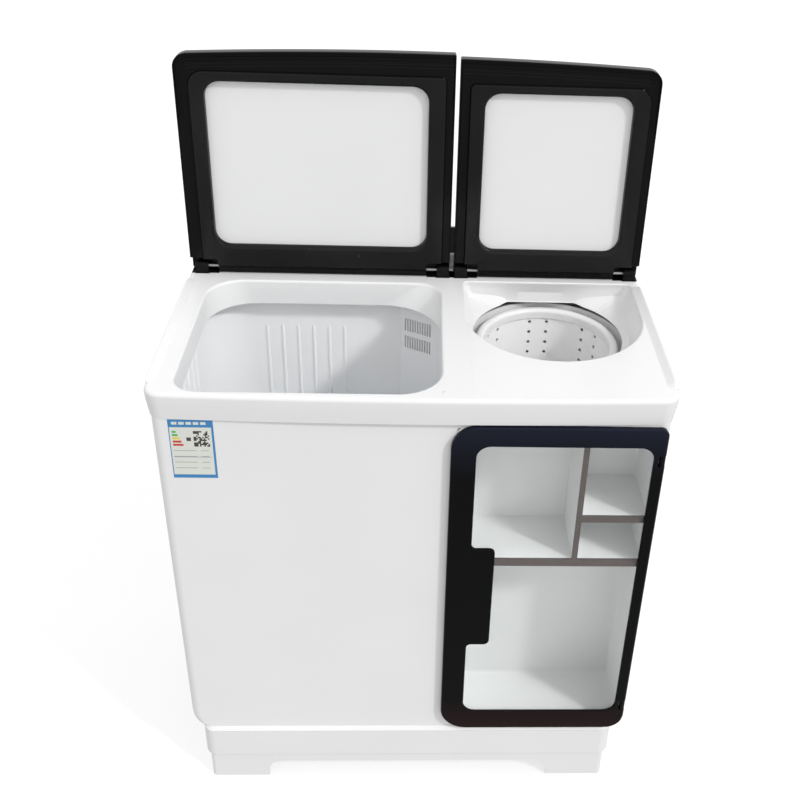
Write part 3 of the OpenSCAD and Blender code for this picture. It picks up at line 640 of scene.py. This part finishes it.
def arch_cutter(along_x):
    """A tunnel with rounded shoulders between two feet, through the whole base."""
    reach = 2 * BASE_HI.x
    start = (BASE_LO.y + TIER_IN[1] if along_x else BASE_LO.x + TIER_IN[0]) + FOOT_W
    end = (BASE_HI.y - TIER_IN[1] if along_x else BASE_HI.x - TIER_IN[0]) - FOOT_W
    points = rounded_box((start, -60), (end, ARCH_H), [0, 0, 25, 25], arc=8)
    if along_x:
        return solid([[Vector((x, p.x, p.y)) for p in points] for x in (-reach, reach)])
    return solid([[Vector((p.x, y, p.y)) for p in points] for y in (-reach, reach)])


def pad_sockets():
    """Bosses under the base's top that hold the foot pads."""
    lo, hi = box_mm("foot_pads")
    r = 22.0
    places = [(x, y) for x in (lo.x + r, hi.x - r) for y in (lo.y + r, hi.y - r)]
    top = BASE_HI.z - 4
    section = [(r + 0.6, 1.5), (r + 4, 1.5), (r + 4, top), (0.1, top), (0.1, 9.6), (r + 0.6, 9.6)]
    return [lathe(section, place, 48) for place in places]


def base_moulding():
    skin = thickened(base_skin(), WALL)
    for along_x in (False, True):
        skin = carved(skin, arch_cutter(along_x))
    bm = merged([skin, *pad_sockets()])
    piece("base_moulding", bm, "cabinet", "white_plastic", ["base_plinth"], bevel=0.35)


# ---- lids ----

LEFT = {"name": "left_lid", "x": (-393.5, 58), "length": 379.5, "raised": ((-370, 4), (43, 343)),
        "window": ((-346, 42), (15, 326)), "hinges": ((-385, 1), (57, -1))}
RIGHT = {"name": "right_lid", "x": (65, 394.5), "length": 373.5, "raised": ((83, 4), (379, 334)),
         "window": ((108, 42), (352, 319)), "hinges": ((67, 1), (389, -1))}
LID_LOW = -5.0
LID_TOP = 17.0
LID_TAIL = 10.5
RAISED_H = 6.0
SKIN = 2.5
RIDGES = 4
RIDGE_PITCH = 5.0
RIDGE_W = 4.2
RIDGE_DROP = 0.9
NOTCH_W = 52.0
NOTCH_DEEP = 16.0     # measured from the hinge axis
BLOCK_W = 22.0
BLOCK_R = 8.0


def lid_radii(lid, outer, inner, hinge_side=3):
    """Corner radii in the order hinge low x, hinge high x, free high x, free low x."""
    is_left = lid["x"][0] < 0
    free = (inner, outer) if is_left else (outer, inner)
    return [hinge_side, hinge_side, free[0], free[1]]


def bowed(lid, points):
    """Outline in x and s with its free edge bowed out."""
    shares = [ease(0, 1, p.y / lid["length"]) for p in points]
    drops = [LID_CROWN * (p.x / LID_HALF) ** 2 * share for p, share in zip(points, shares)]
    return [Vector((p.x, p.y - drop)) for p, drop in zip(points, drops)]


def lid_outline(lid, by):
    x0, x1 = lid["x"]
    box = rounded_box((x0, -LID_TAIL), (x1, lid["length"]), lid_radii(lid, 22, 3), by, arc=8, side=20)
    return bowed(lid, box)


def ridge_outline(lid, inset):
    """A lid's outline drawn in from its free edge, less from its outer side and hardly from the others."""
    x0, x1 = lid["x"]
    edge = 3.0 + 0.04 * inset
    outer = 3.0 + 0.45 * inset
    low, high = (x0 + outer, x1 - edge) if x0 < 0 else (x0 + edge, x1 - outer)
    radii = lid_radii(lid, 20, 0.5, 0.5)
    free = lid["length"] - 3.0 - inset
    return bowed(lid, rounded_box((low, edge - LID_TAIL), (high, free), radii, arc=8, side=20))


def raised_outline(lid, by):
    (x0, s0), (x1, s1) = lid["raised"]
    return rounded_box((x0, s0), (x1, s1), lid_radii(lid, 25, 9, 6), by, arc=8, side=20)


def window_outline(lid, by):
    (x0, s0), (x1, s1) = lid["window"]
    return rounded_box((x0, s0), (x1, s1), 26, by, arc=8, side=20)


def on_lid(points, h):
    """An outline in x and s, at height h over the shut lid, swung open to where it rests."""
    swing = Matrix.Rotation(-LID_SWING, 3, "X")
    heights = h if isinstance(h, (list, tuple)) else [h] * len(points)
    return [LID_AXIS + swing @ Vector((p.x, -p.y, up)) for p, up in zip(points, heights)]


def notch_start(x, side):
    return x - 12 if side > 0 else x - 40


def lid_rings(lid, outline, levels):
    """One of a lid's outlines at several (distance grown, height) levels."""
    return [on_lid(outline(lid, by), h) for by, h in levels]


def hinge_notches(lid):
    """Gaps in the lid's hinge edge for the blocks and a bare stretch of pin."""
    boxes = []
    for x, side in lid["hinges"]:
        x0 = notch_start(x, side)
        points = rounded_box((x0, -LID_TAIL - 20), (x0 + NOTCH_W, NOTCH_DEEP), [0, 0, 3, 3], arc=4)
        boxes.append(solid([on_lid(points, -30), on_lid(points, LID_TOP - SKIN - 1)]))
    return merged(boxes)


def lid_shell(lid):
    """Outer moulding: a tray turned down at its rim, with the window's wall inside it."""
    roll = [(-across, LID_TOP - down) for across, down in reversed(quarter(4.0))]
    rings = lid_rings(lid, lid_outline, [(-0.8, LID_LOW), (0, LID_LOW + 1), (0, 4)] + roll)
    inner = [(6, LID_TOP), (1.5, LID_TOP - 0.5), (0.2, LID_TOP - 2), (0, 4.2), (SKIN, 4.2),
             (SKIN, LID_TOP - SKIN)]
    rings += lid_rings(lid, window_outline, inner)
    rings += lid_rings(lid, lid_outline, [(-4.5, LID_TOP - SKIN), (-SKIN, 11), (-SKIN, LID_LOW)])
    bm = bmesh.new()
    loft(bm, rings, join_ends=True)
    bm = carved(bm, hinge_notches(lid))
    name = lid["name"]
    piece(name + "_cover", bm, name, "black_gloss", [name + "_shell"], bevel=0.5, crease=50)


def ridge_rings(lid):
    """Terraces along the free edge of the lid's underside, that run round its outer corner and fade out."""
    base = LID_LOW + 3.0
    rings = []
    for k in range(RIDGES + 1):
        start = RIDGE_PITCH * k
        for inset in [start, start + RIDGE_W] if k < RIDGES else [start]:
            points = ridge_outline(lid, inset)
            falls = [RIDGES - (RIDGES - k) * ease(210, 330, p.y) for p in points]
            rings.append((points, [base - RIDGE_DROP * fall for fall in falls]))
    rings.append((raised_outline(lid, 1.5), base - RIDGE_DROP * RIDGES))
    return rings


def lid_frame(lid):
    """Inner moulding: stepped border, a less glossy raised frame painted a lighter black as its sheen, and
    the wall down to the pane.
    """
    low = LID_LOW - RAISED_H
    ridges = ridge_rings(lid)
    rings = [on_lid(ridges[0][0], LID_LOW + 3.5)]
    rings += [on_lid(points, heights) for points, heights in ridges]
    rings += lid_rings(lid, raised_outline, [(0, low + 1.8), (-0.7, low + 0.5), (-2.2, low)])
    inner = [(6.5, low), (3.5, low + 0.7), (1.2, low + 2.6), (0.4, low + 5), (0, 1), (SKIN, 1),
             (SKIN, LID_LOW + 3.5)]
    rings += lid_rings(lid, window_outline, inner)
    bm = bmesh.new()
    loft(bm, rings, join_ends=True)
    bm = carved(bm, hinge_notches(lid))
    out = Matrix.Rotation(-LID_SWING, 3, "X") @ Vector((0, 0, 1))
    for face in bm.faces:
        # Faces on the raised frame and the wall below it wear the lighter black, which is painted sheen.
        face.material_index = int((face.calc_center_median() - LID_AXIS).dot(out) < low + 2.5)
    name = lid["name"]
    looks = [LOOKS["black_gloss"], LOOKS["raised_frame_painted_sheen"]]
    piece(name + "_liner", bm, name, "black_gloss", [name + "_frame"], looks, crease=28)


def lid_pane(lid):
    levels = [(1.2, 1.0), (SKIN - 0.2, 1.3), (SKIN - 0.2, 3.7), (1.2, 4.0)]
    bm = solid(lid_rings(lid, window_outline, levels))
    name = lid["name"]
    piece(name + "_frosted_pane", bm, name, "pane", [name + "_pane"])


def hinge_blocks():
    """Blocks on the deck that the lids' pins turn in, rounded over the pin."""
    parts = []
    turns = [math.pi * k / 12 for k in range(13)]
    section = [(BLOCK_R * math.cos(a), BLOCK_R * math.sin(a)) for a in turns]
    section += [(-BLOCK_R, DECK_Z - LID_AXIS.z), (BLOCK_R, DECK_Z - LID_AXIS.z)]
    for x, side in LEFT["hinges"] + RIGHT["hinges"]:
        ends = (x, x + side * BLOCK_W)
        parts.append(solid([[LID_AXIS + Vector((at, u, v)) for u, v in section] for at in ends]))
        foot_lo = (min(ends) - 1.5, LID_AXIS.y - 9.5, DECK_Z - 0.5)
        foot_hi = (max(ends) + 1.5, LID_AXIS.y + 9.5, DECK_Z + 2)
        parts.append(block(foot_lo, foot_hi))
        x0 = max(notch_start(x, side), LEFT["x"][0] + 1)
        x1 = min(notch_start(x, side) + NOTCH_W, RIGHT["x"][1] - 1)
        parts.append(block((x0, LID_AXIS.y - 7, DECK_Z - 0.5), (x1, LID_AXIS.y + 17, DECK_Z + 1.2)))
    piece("hinge_towers", merged(parts), "cabinet", "black_gloss", ["lid_hinge_blocks"], bevel=0.8)


# ---- cabinet door ----

DOOR_RADII = [46, 32, 13, 42]
GLASS_LO, GLASS_HI = box_mm("door_window")
GLASS_LAP = 4.7
TAB_X = 132.0
TAB_Z = (344.0, 556.0)
LUG_GAP = 20.4        # height of the frame's gap round each hinge lug


def door_outline(by):
    return rounded_box((DOOR_LO.x, DOOR_LO.z), (DOOR_HI.x, DOOR_HI.z), DOOR_RADII, by, arc=12, side=8)


def door_gap(by, with_tab=True):
    """The door's window opening, with the handle tab standing into it."""
    lo = (GLASS_LO.x + GLASS_LAP, GLASS_LO.z + GLASS_LAP)
    hi = (GLASS_HI.x - GLASS_LAP, GLASS_HI.z - GLASS_LAP)
    if not with_tab:
        return rounded_box(lo, hi, 22, by)
    low, high = TAB_Z
    corners = [lo, (hi[0], lo[1]), hi, (lo[0], hi[1])]
    corners += [(lo[0], high), (TAB_X, high), (TAB_X, low), (lo[0], low)]
    return smooth_polygon(corners, [22, 22, 22, 22, 8, 10, 10, 8], by)


def rounded_hinge_edge(bm):
    """Draws the door's right edge into a half round about its hinge axis."""
    r = (DOOR_HI.y - DOOR_LO.y) / 2
    axis = DOOR_HI.x - r
    middle = (DOOR_HI.y + DOOR_LO.y) / 2
    for v in bm.verts:
        if v.co.x > axis:
            v.co.x = axis + (v.co.x - axis) * math.sqrt(max(1 - ((v.co.y - middle) / r) ** 2, 0.02))


def door_frame():
    front, back = DOOR_LO.y, DOOR_HI.y
    bm = bmesh.new()
    edge = [(-1, back), (0, back - 1), (0, front + 3.2), (-0.35, front + 1.8), (-1.2, front + 0.7),
            (-3, front)]
    outer = loft(bm, [upright(door_outline(by), y) for by, y in edge])
    mouth = [(1.6, front), (0.5, front + 0.5), (0, front + 1.6), (0, front + 3.9)]
    inner = loft(bm, [upright(door_gap(by), y) for by, y in mouth])
    rebate = loft(bm, [upright(door_gap(by, False), y) for by, y in [(5, front + 3.9), (5, back)]])
    fill(bm, outer[-1], inner[0])
    fill(bm, rebate[0], inner[-1])
    fill(bm, outer[0], rebate[-1])
    rounded_hinge_edge(bm)
    lug_lo, lug_hi = box_mm("door_hinge_lugs")
    cuts = [block((DOOR_HI.x - 12, front - 5, z), (DOOR_HI.x + 5, back + 5, z + LUG_GAP))
            for z in (lug_lo.z - 0.2, lug_hi.z - LUG_GAP + 0.2)]
    bm = carved(bm, merged(cuts))
    piece("door_surround", bm, "door", "black_gloss", ["door_frame"], [LOOKS["door"]], crease=24)


def door_glass():
    lo, hi = GLASS_LO, GLASS_HI
    levels = [(-0.8, lo.y), (0, lo.y + 0.6), (0, hi.y - 0.6), (-0.8, hi.y)]
    bm = solid([upright(rounded_box((lo.x, lo.z), (hi.x, hi.z), 26.7, by), y) for by, y in levels])
    piece("door_clear_window", bm, "door", "door_glass", ["door_window"])


# ---- storage cabinet ----

def storage_liner():
    """A white box set in the body's front opening, with softly rounded inner corners."""
    wall = 2.5
    lo = (STORE_LO.x + wall, STORE_LO.z + wall)
    hi = (STORE_HI.x - wall, STORE_HI.z - wall)
    front, back = STORE_LO.y, STORE_HI.y
    levels = [(wall, back), (wall, front), (0.4, front), (0, front + 0.5), (0, back - wall - 6)]
    levels += [(-across, back - wall - down) for across, down in reversed(quarter(6.0, 4))]
    bm = solid([upright(rounded_box(lo, hi, 6.5, by, arc=6), y) for by, y in levels])
    piece("cabinet_liner", bm, "cabinet", "white_plastic", ["storage_liner"])


# ---- wash side ----

TUB_RADII = [42, 60, 60, 80]
TUB_FLOOR = TUB_LO.z + WALL
TUB_FOOT_R = 30.0
VALVE_LO = box_mm("drain_valve_body")[0]
DRAIN_AT = (VALVE_LO.x + 20, VALVE_LO.y + 20)
RIB_HALF = 4.0
RIB_DEPTH = 5.0       # from the wall's outer face
RIB_TOP = TUB_FLOOR + 362
SIDE_RIB_TOP = TUB_FLOOR + 405
VANES = 6
VANE_SWEEP = 260.0    # a vane turns by a whole vane's place over this much radius
TUB_IN_LO = (TUB_LO.x + WALL, TUB_LO.y + WALL)
TUB_IN_HI = (TUB_HI.x - WALL, TUB_HI.y - WALL)


def tub_ring(z, inset=0.0):
    """Plan of the tub wall's outer face at a height. Its front stops under the cover's lip."""
    ring = rounded_box(TUB_IN_LO, TUB_IN_HI, TUB_RADII, -inset, arc=10, side=8)
    return [Vector((p.x, p.y, min(z, LIP_Z - 0.5) if p.y < FRONT + 90 else z)) for p in ring]


def rib(at, out, top):
    """An upright half-round rib on a wall, from its place, the way the wall faces and its top."""
    along = Vector((-out.y, out.x))
    levels = [(TUB_FLOOR + 20, 0.4), (TUB_FLOOR + 34, 1), (top - 8, 1), (top - 2, 0.7), (top, 0.25)]
    turns = [math.pi * k / 8 for k in range(9)]
    rings = []
    for z, size in levels:
        section = [(RIB_HALF * math.cos(a) * size, RIB_DEPTH * math.sin(a) * size) for a in turns]
        section += [(-RIB_HALF * size, -1.0), (RIB_HALF * size, -1.0)]
        rings.append([Vector((*(at + along * u + out * v), z)) for u, v in section])
    return solid(rings)


def tub_ribs():
    """Ribs on the tub's back, front and left walls."""
    ribs = []
    for k in range(6):
        x = WASH.x - 107 + 27.8 * k
        ribs.append(rib(Vector((x, TUB_IN_HI[1])), Vector((0, -1)), RIB_TOP))
        ribs.append(rib(Vector((x, TUB_IN_LO[1])), Vector((0, 1)), RIB_TOP))
    for k in range(5):
        y = FRONT + 122 + 32.5 * k
        ribs.append(rib(Vector((TUB_IN_LO[0], y)), Vector((1, 0)), SIDE_RIB_TOP))
    return ribs


def wash_basin():
    bm = bmesh.new()
    rings = [tub_ring(z) for z in (TUB_HI.z, LIP_Z - 1, TUB_FLOOR + 250, TUB_FLOOR + 100)]
    rings += [tub_ring(TUB_FLOOR + up, across) for up, across in quarter(TUB_FOOT_R, 6)]
    grid = loft(bm, rings)
    hub = [bm.verts.new(p) for p in flat(circle_points((WASH.x, WASH.y), 20, 48), TUB_FLOOR)]
    drain = [bm.verts.new(p) for p in flat(circle_points(DRAIN_AT, 12, 32), TUB_FLOOR)]
    fill(bm, grid[-1], hub, drain)
    bm = merged([thickened(bm, WALL - 0.4), *tub_ribs()])
    piece("wash_basin", bm, "cabinet", "tub_plastic", ["wash_tub"])


def pulsator_disc():
    """Low dome with swept vanes and a raised cap."""
    r_max = PULSATOR_HI.x - WASH.x
    foot, head = PULSATOR_LO.z, PULSATOR_HI.z
    height = head - foot
    radii = [2, 8, 16, 22, 26, 32, 40] + [40 + (r_max - 46) * k / 12 for k in range(1, 13)]
    radii += [r_max - 3, r_max - 0.8]
    count = 168

    def top(r, a):
        dome = foot + 7 + 5 * (1 - (r / r_max) ** 2)
        cap = (head - dome - 1) * (1 - ease(18, 30, r))
        swept = (a * VANES / (2 * math.pi) + r / VANE_SWEEP) % 1
        along = ease(24, 40, r) * (1 - ease(r_max - 26, r_max - 6, r))
        vane = (1 - ease(0.05, 0.16, abs(swept - 0.5))) * along
        return dome + cap + 0.5 * height * vane

    turns = [2 * math.pi * k / count for k in range(count)]
    rings = []
    for r in radii:
        around = circle_points(WASH, r, count)
        rings.append([Vector((p.x, p.y, top(r, a))) for p, a in zip(around, turns)])
    for r, up in [(r_max, 5), (r_max, 1), (r_max - 1, 0)]:
        rings.append(flat(circle_points(WASH, r, count), foot + up))
    bm = solid(rings)
    piece("pulsator_disc", bm, "wash_rotor", "pulsator_blue", ["pulsator"])


# ---- spin side ----

HOLE_R = 3.0
HOLE_PITCH = 21.0
HOLE_ROWS = 13
PAIRS = 7
PAIR_START = math.radians(91.5)
PAIR_HALF = math.radians(16)
CELL_STEPS = 4        # steps along each side of a cell of the drum's wall
DRUM_WALL = 2.0
DRUM_FOOT_R = 12.0
RING_W = 15.0
COLLAR_R = 115.0      # inside the housing a collar runs round under the balance ring


def drum_angles():
    """Cells round the drum as (start, end, has holes): two with holes and a blank one for each pair."""
    turn = 2 * math.pi / PAIRS
    cells = []
    for k in range(PAIRS):
        middle = PAIR_START + k * turn
        cells += [(middle - PAIR_HALF, middle, True), (middle, middle + PAIR_HALF, True),
                  (middle + PAIR_HALF, middle + turn - PAIR_HALF, False)]
    return cells


def on_drum(r, a, z):
    return Vector((SPIN.x + r * math.cos(a), SPIN.y + r * math.sin(a), z))


def drum_cell(bm, r, a0, a1, z0, z1, hole_z):
    """One cell of the drum's wall, with a round hole in it or none."""
    steps = CELL_STEPS

    def place(u, v):
        return on_drum(r, a0 + (a1 - a0) * u, z0 + (z1 - z0) * v)

    if hole_z is None:
        across = [i / steps for i in range(steps + 1)]
        loft(bm, [[place(u, v) for u in across] for v in across], closed=False)
        return
    path = [(i / steps, 0) for i in range(steps)] + [(1, i / steps) for i in range(steps)]
    path += [(1 - i / steps, 1) for i in range(steps)] + [(0, 1 - i / steps) for i in range(steps)]
    outer = [place(u, v) for u, v in path]
    middle_a = (a0 + a1) / 2
    inner = []
    for u, v in path:
        way = math.atan2(v - 0.5, u - 0.5)
        inner.append(on_drum(r, middle_a + HOLE_R / r * math.cos(way), hole_z + HOLE_R * math.sin(way)))
    loft(bm, [outer, inner])


def spin_drum():
    """Basket with real drain holes in seven pairs of upright rows."""
    bm = bmesh.new()
    r = (BASKET_HI.x - BASKET_LO.x) / 2 - DRUM_WALL
    floor = BASKET_LO.z + WALL
    top = BASKET_HI.z
    rows = [top - 7 - k * HOLE_PITCH for k in range(HOLE_ROWS)]
    levels = [(floor + DRUM_FOOT_R, rows[-1] - HOLE_PITCH / 2, None)]
    levels += [(row - HOLE_PITCH / 2, min(row + HOLE_PITCH / 2, top), row) for row in rows]
    for a0, a1, holed in drum_angles():
        for z0, z1, row in levels:
            drum_cell(bm, r, a0, a1, z0, z1, row if holed else None)
    turns = [a0 + (a1 - a0) * i / CELL_STEPS for a0, a1, _ in drum_angles() for i in range(CELL_STEPS)]
    foot = [(r - across, floor + up) for up, across in quarter(DRUM_FOOT_R)]
    foot += [(60, floor), (44, floor + 4), (34, floor + 5), (20.5, floor + 1)]
    loft(bm, [[on_drum(radius, a, z) for a in turns] for radius, z in foot])
    bm = thickened(bm, DRUM_WALL, 1)
    piece("spin_drum", bm, "spin_rotor", "tub_plastic", ["spin_basket"], [LOOKS["drum"]])


def spin_ring():
    r1 = (RING_HI.x - RING_LO.x) / 2
    profile = rounded_box((r1 - RING_W, RING_LO.z), (r1, RING_HI.z), [2, 2, 6, 6], arc=6)
    piece("spin_balance_ring", lathe(profile, SPIN), "spin_rotor", "white_plastic", ["balance_ring"])


def spin_housing():
    lo, hi = box_mm("spin_outer_tub")
    r = (hi.x - lo.x) / 2
    inner = r - WALL
    floor = lo.z + WALL
    collar = RING_LO.z - 3
    profile = [(24, lo.z), (r - 14, lo.z), (r - 4, lo.z + 4), (r, lo.z + 14), (r, hi.z), (inner, hi.z),
               (inner - 2, collar + 6), (inner - 6, collar), (COLLAR_R, collar - 2), (COLLAR_R, collar - 5),
               (inner - 6, collar - 5), (inner, collar - 14),
               (inner, floor + 14), (inner - 4, floor + 4), (inner - 14, floor), (24, floor)]
    bm = lathe(profile, SPIN)
    piece("spin_housing", bm, "cabinet", "tub_plastic", ["spin_outer_tub"], [LOOKS["housing"]])


# ---- console ----

FASCIA_LO, FASCIA_HI = box_mm("console_fascia")
CONSOLE_LO, CONSOLE_HI = box_mm("console_housing")
SLOPE = math.radians(30)
CONSOLE_LIP = DECK_Z + 26
KNOBS = ["wash_timer_knob", "wash_mode_knob", "drain_knob", "spin_timer_knob"]
FASCIA_T = 2.0


def on_console(x):
    """Places something drawn flat on the middle of the console's sloping face."""
    y = (CONSOLE_LO.y + CONSOLE_HI.y) / 2
    z = (CONSOLE_LIP + CONSOLE_HI.z) / 2
    return Matrix.Translation((x, y, z)) @ Matrix.Rotation(SLOPE, 4, "X")


def knob_x(name):
    lo, hi = box_mm(name)
    return (lo.x + hi.x) / 2


def knob_wells():
    """Holes in the console's face for the knobs' stems."""
    return merged([turned(prism(circle_points((0, 0), 5, 32), -8, 20), on_console(knob_x(name)))
                   for name in KNOBS])


def console_housing():
    section = [(CONSOLE_LO.y, DECK_Z - 0.5), (CONSOLE_LO.y, CONSOLE_LIP), (CONSOLE_HI.y, CONSOLE_HI.z),
               (CONSOLE_HI.y, DECK_Z - 0.5)]
    bm = solid([[Vector((x, y, z)) for y, z in section] for x in (CONSOLE_LO.x, CONSOLE_HI.x)])
    bm = carved(bm, knob_wells())
    piece("console_moulding", bm, "cabinet", "white_plastic", ["console_housing"],
          bevel=3, segments=4, crease=40)


def console_fascia():
    length = (CONSOLE_HI.y - CONSOLE_LO.y) / math.cos(SLOPE) - 10
    half = (FASCIA_HI.x - FASCIA_LO.x) / 2
    plate = prism(rounded_box((-half, -length / 2), (half, length / 2), 8), 0, FASCIA_T)
    bm = turned(plate, on_console(0))
    bm = carved(bm, knob_wells())
    piece("console_panel", bm, "cabinet", "black_gloss", ["console_fascia"], bevel=0.5, crease=40)


def dial_marks():
    """Plain ticks round each knob: many for a timer, three for a selector."""
    parts = []
    for name in KNOBS:
        sweep, count = (300, 16) if "timer" in name else (90, 3)
        for k in range(count):
            angle = math.radians(90 + sweep / 2 - sweep * k / (count - 1))
            long = k % 5 == 0 or count == 3
            reach = 2.6 if long else 1.6
            tick = block((22.4, -0.45, FASCIA_T), (22.4 + reach, 0.45, FASCIA_T + 0.15))
            parts.append(turned(tick, on_console(knob_x(name)) @ Matrix.Rotation(angle, 4, "Z")))
    piece("dial_marks", merged(parts), "cabinet", "white_plastic", looks=[LOOKS["marks"]])


def fluted(r, depth, count, steps=6):
    """A circle with shallow finger flutes."""
    total = count * steps
    points = []
    for i in range(total):
        a = 2 * math.pi * i / total
        d = depth * (0.5 - 0.5 * math.cos(count * a))
        points.append(Vector(((r - d) * math.cos(a), (r - d) * math.sin(a))))
    return points


def knob(name):
    """Knob with a fluted skirt, a grip bar across its cap and a pointer line on the bar."""
    base = FASCIA_T + 0.6
    skirt = [(20.2, base, 0.0), (21, base + 0.8, 0.7), (20.6, base + 5, 0.7), (19.4, base + 6.2, 0.3),
             (16.4, base + 6.6, 0.0), (16, base + 7.4, 0.0), (15.6, base + 16.4, 0.0),
             (14.4, base + 17.4, 0.0)]
    body = solid([flat(fluted(r, depth, 30), z) for r, z, depth in skirt])
    grip_levels = [(0, base + 6), (0, base + 19.6), (-1.4, base + 21.2)]
    grip = solid([flat(rounded_box((-4, -18.5), (4, 18.5), 3.2, by), z) for by, z in grip_levels])
    stem = prism(circle_points((0, 0), 3.9, 32), -15, base + 2)
    mark = prism(rounded_box((-0.7, 6), (0.7, 17), 0.5), base + 21, base + 21.4)
    for face in mark.faces:
        face.material_index = 1
    place = on_console(knob_x(name))
    bm = merged([turned(part, place) for part in (body, grip, stem, mark)])
    looks = [LOOKS["knob_silver"], LOOKS["trim"]]
    piece(name + "_grip", bm, name, "knob_silver", [name], looks, crease=35)


# ---- energy label ----

LABEL_LO, LABEL_HI = box_mm("energy_label")


def label_tile(u0, v0, u1, v1, layer):
    """A thin printed patch. u runs across the label and v down it, both from 0 to 1."""
    size = LABEL_HI - LABEL_LO
    y = LABEL_LO.y + 0.12 - 0.04 * layer
    lo = (LABEL_LO.x + size.x * u0, y, LABEL_HI.z - size.z * v1)
    hi = (LABEL_LO.x + size.x * u1, LABEL_HI.y - 0.02, LABEL_HI.z - size.z * v0)
    return block(lo, hi)


def energy_label():
    """A printed energy label with plain bars, dashes and blocks in place of its print."""
    tiles = [(label_tile(0, 0, 1, 1, 0), 0), (label_tile(0.02, 0.13, 0.95, 0.94, 1), 1)]
    tiles += [(label_tile(0.08 + 0.16 * k, 0.04, 0.2 + 0.16 * k, 0.085, 1), 1) for k in range(5)]
    bars = [3, 3, 4, 5, 5]
    tiles += [(label_tile(0.07, 0.19 + 0.055 * k, 0.16 + 0.035 * k, 0.225 + 0.055 * k, 2), bar)
              for k, bar in enumerate(bars)]
    tiles.append((label_tile(0.38, 0.3, 0.48, 0.36, 2), 2))
    speckle = random.Random(4)
    for row in range(11):
        for column in range(11):
            if speckle.random() < 0.5:
                u, v = 0.54 + 0.032 * column, 0.19 + 0.024 * row
                tiles.append((label_tile(u, v, u + 0.032, v + 0.024, 2), 2))
    tiles.append((label_tile(0.06, 0.63, 0.9, 0.64, 2), 6))
    for k in range(4):
        tiles.append((label_tile(0.07, 0.52 + 0.1 * k, 0.57, 0.53 + 0.1 * k, 2), 6))
        tiles.append((label_tile(0.68, 0.52 + 0.1 * k, 0.85, 0.53 + 0.1 * k, 2), 6))
    for part, index in tiles:
        for face in part.faces:
            face.material_index = index
    bm = merged([part for part, _ in tiles])
    piece("energy_label_print", bm, "cabinet", "label", ["energy_label"], label_inks())


# ---- looks of the carried-over CAD parts ----

BEVELS = {"main_shelf": 1.0, "shelf_divider": 1.0, "small_shelf": 1.0, "shelf_trims": 0.6, "door_catch": 1.0,
          "overflow_filter_cover": 0.6, "door_hinge_lugs": 0.5, "rear_panel": 0.4, "rear_panel_screws": 0.5,
          "drain_outlet": 0.8, "water_inlets": 0.8, "cable_gland": 0.6, "foot_pads": 1.2, "timer_units": 1.0,
          "motor_capacitor": 1.2, "drain_valve_body": 0.8, "brake_lever": 0.8, "motor_bracket": 0.8}


def dress_frame():
    """Gives every CAD node that still shows its slot's material and softly rounded edges."""
    for row in frame["record"]["subparts"]:
        obj = frame["nodes"][row["node"]]
        if obj.hide_render:
            continue
        obj.data.materials.clear()
        obj.data.materials.append(LOOKS[row["material_slot"]])
        soften(obj, BEVELS.get(row["node"], 0.3), 2, 35)


# ---- studio ----

def camera():
    """Stands in front of the machine and above it, turned a little to its left."""
    yaw, pitch, roll = math.radians(-3.449), math.radians(30.506), math.radians(-2.696)
    level = Matrix.Rotation(yaw, 4, "Z") @ Matrix.Rotation(math.pi / 2 - pitch, 4, "X")
    data = bpy.data.cameras.new("camera")
    data.sensor_width = 36
    data.lens = 47.54
    data.shift_x = -0.0859
    data.shift_y = -0.0735
    obj = placed("camera", data)
    place = Matrix.Translation((-0.00292, -1.52012, 1.69383))
    obj.matrix_world = place @ level @ Matrix.Rotation(-roll, 4, "Z")
    bpy.context.scene.camera = obj


def lamp(name, towards, strength, angle):
    """A soft sun that shines along a direction."""
    data = bpy.data.lights.new(name, "SUN")
    data.energy = strength
    data.angle = math.radians(angle)
    obj = placed(name, data)
    obj.rotation_euler = Vector(towards).to_track_quat("-Z", "Y").to_euler()


def pale_sky():
    """An even white sky over the machine, and dimmer light from below the horizon."""
    world = bpy.data.worlds.new("studio")
    world.use_nodes = True
    tree = world.node_tree
    strength = between(tree, upward(tree), 0.56, 0.97, -0.05, 0.05)
    feed(tree, tree.nodes["Background"], {"Color": (1, 1, 1, 1), "Strength": strength})
    return world


def studio():
    """White surroundings, a key light from the right and a pale floor that lights nothing itself."""
    scene = bpy.context.scene
    scene.view_settings.view_transform = "Standard"
    scene.world = pale_sky()
    lamp("key", (-1, 0.78, -1.09), 1.37, 6)
    bm = bmesh.new()
    side = 9000
    loft(bm, [[Vector((x, y, -0.5)) for x in (-side, side)] for y in (-side, side)], closed=False)
    mesh = as_data(bm, "floor")
    mesh.transform(Matrix.Scale(MM, 4))
    pale = surface("pale_floor", (0.4, 0.4, 0.4), 0.7, 0.004, specular=0.1)
    tree = pale.node_tree
    feed(tree, tree.nodes["Principled BSDF"], {"Emission Color": (1, 1, 1, 1), "Emission Strength": 0.62})
    mesh.materials.append(pale)
    floor = placed("floor", mesh)
    floor.visible_diffuse = False
    floor.visible_glossy = False


# ---- the model ----

camera()
studio()
deck_cover()
body_panel()
base_moulding()
for lid in (LEFT, RIGHT):
    lid_shell(lid)
    lid_frame(lid)
    lid_pane(lid)
hinge_blocks()
door_frame()
door_glass()
storage_liner()
wash_basin()
pulsator_disc()
spin_drum()
spin_ring()
spin_housing()
console_housing()
console_fascia()
dial_marks()
for name in KNOBS:
    knob(name)
energy_label()
dress_frame()
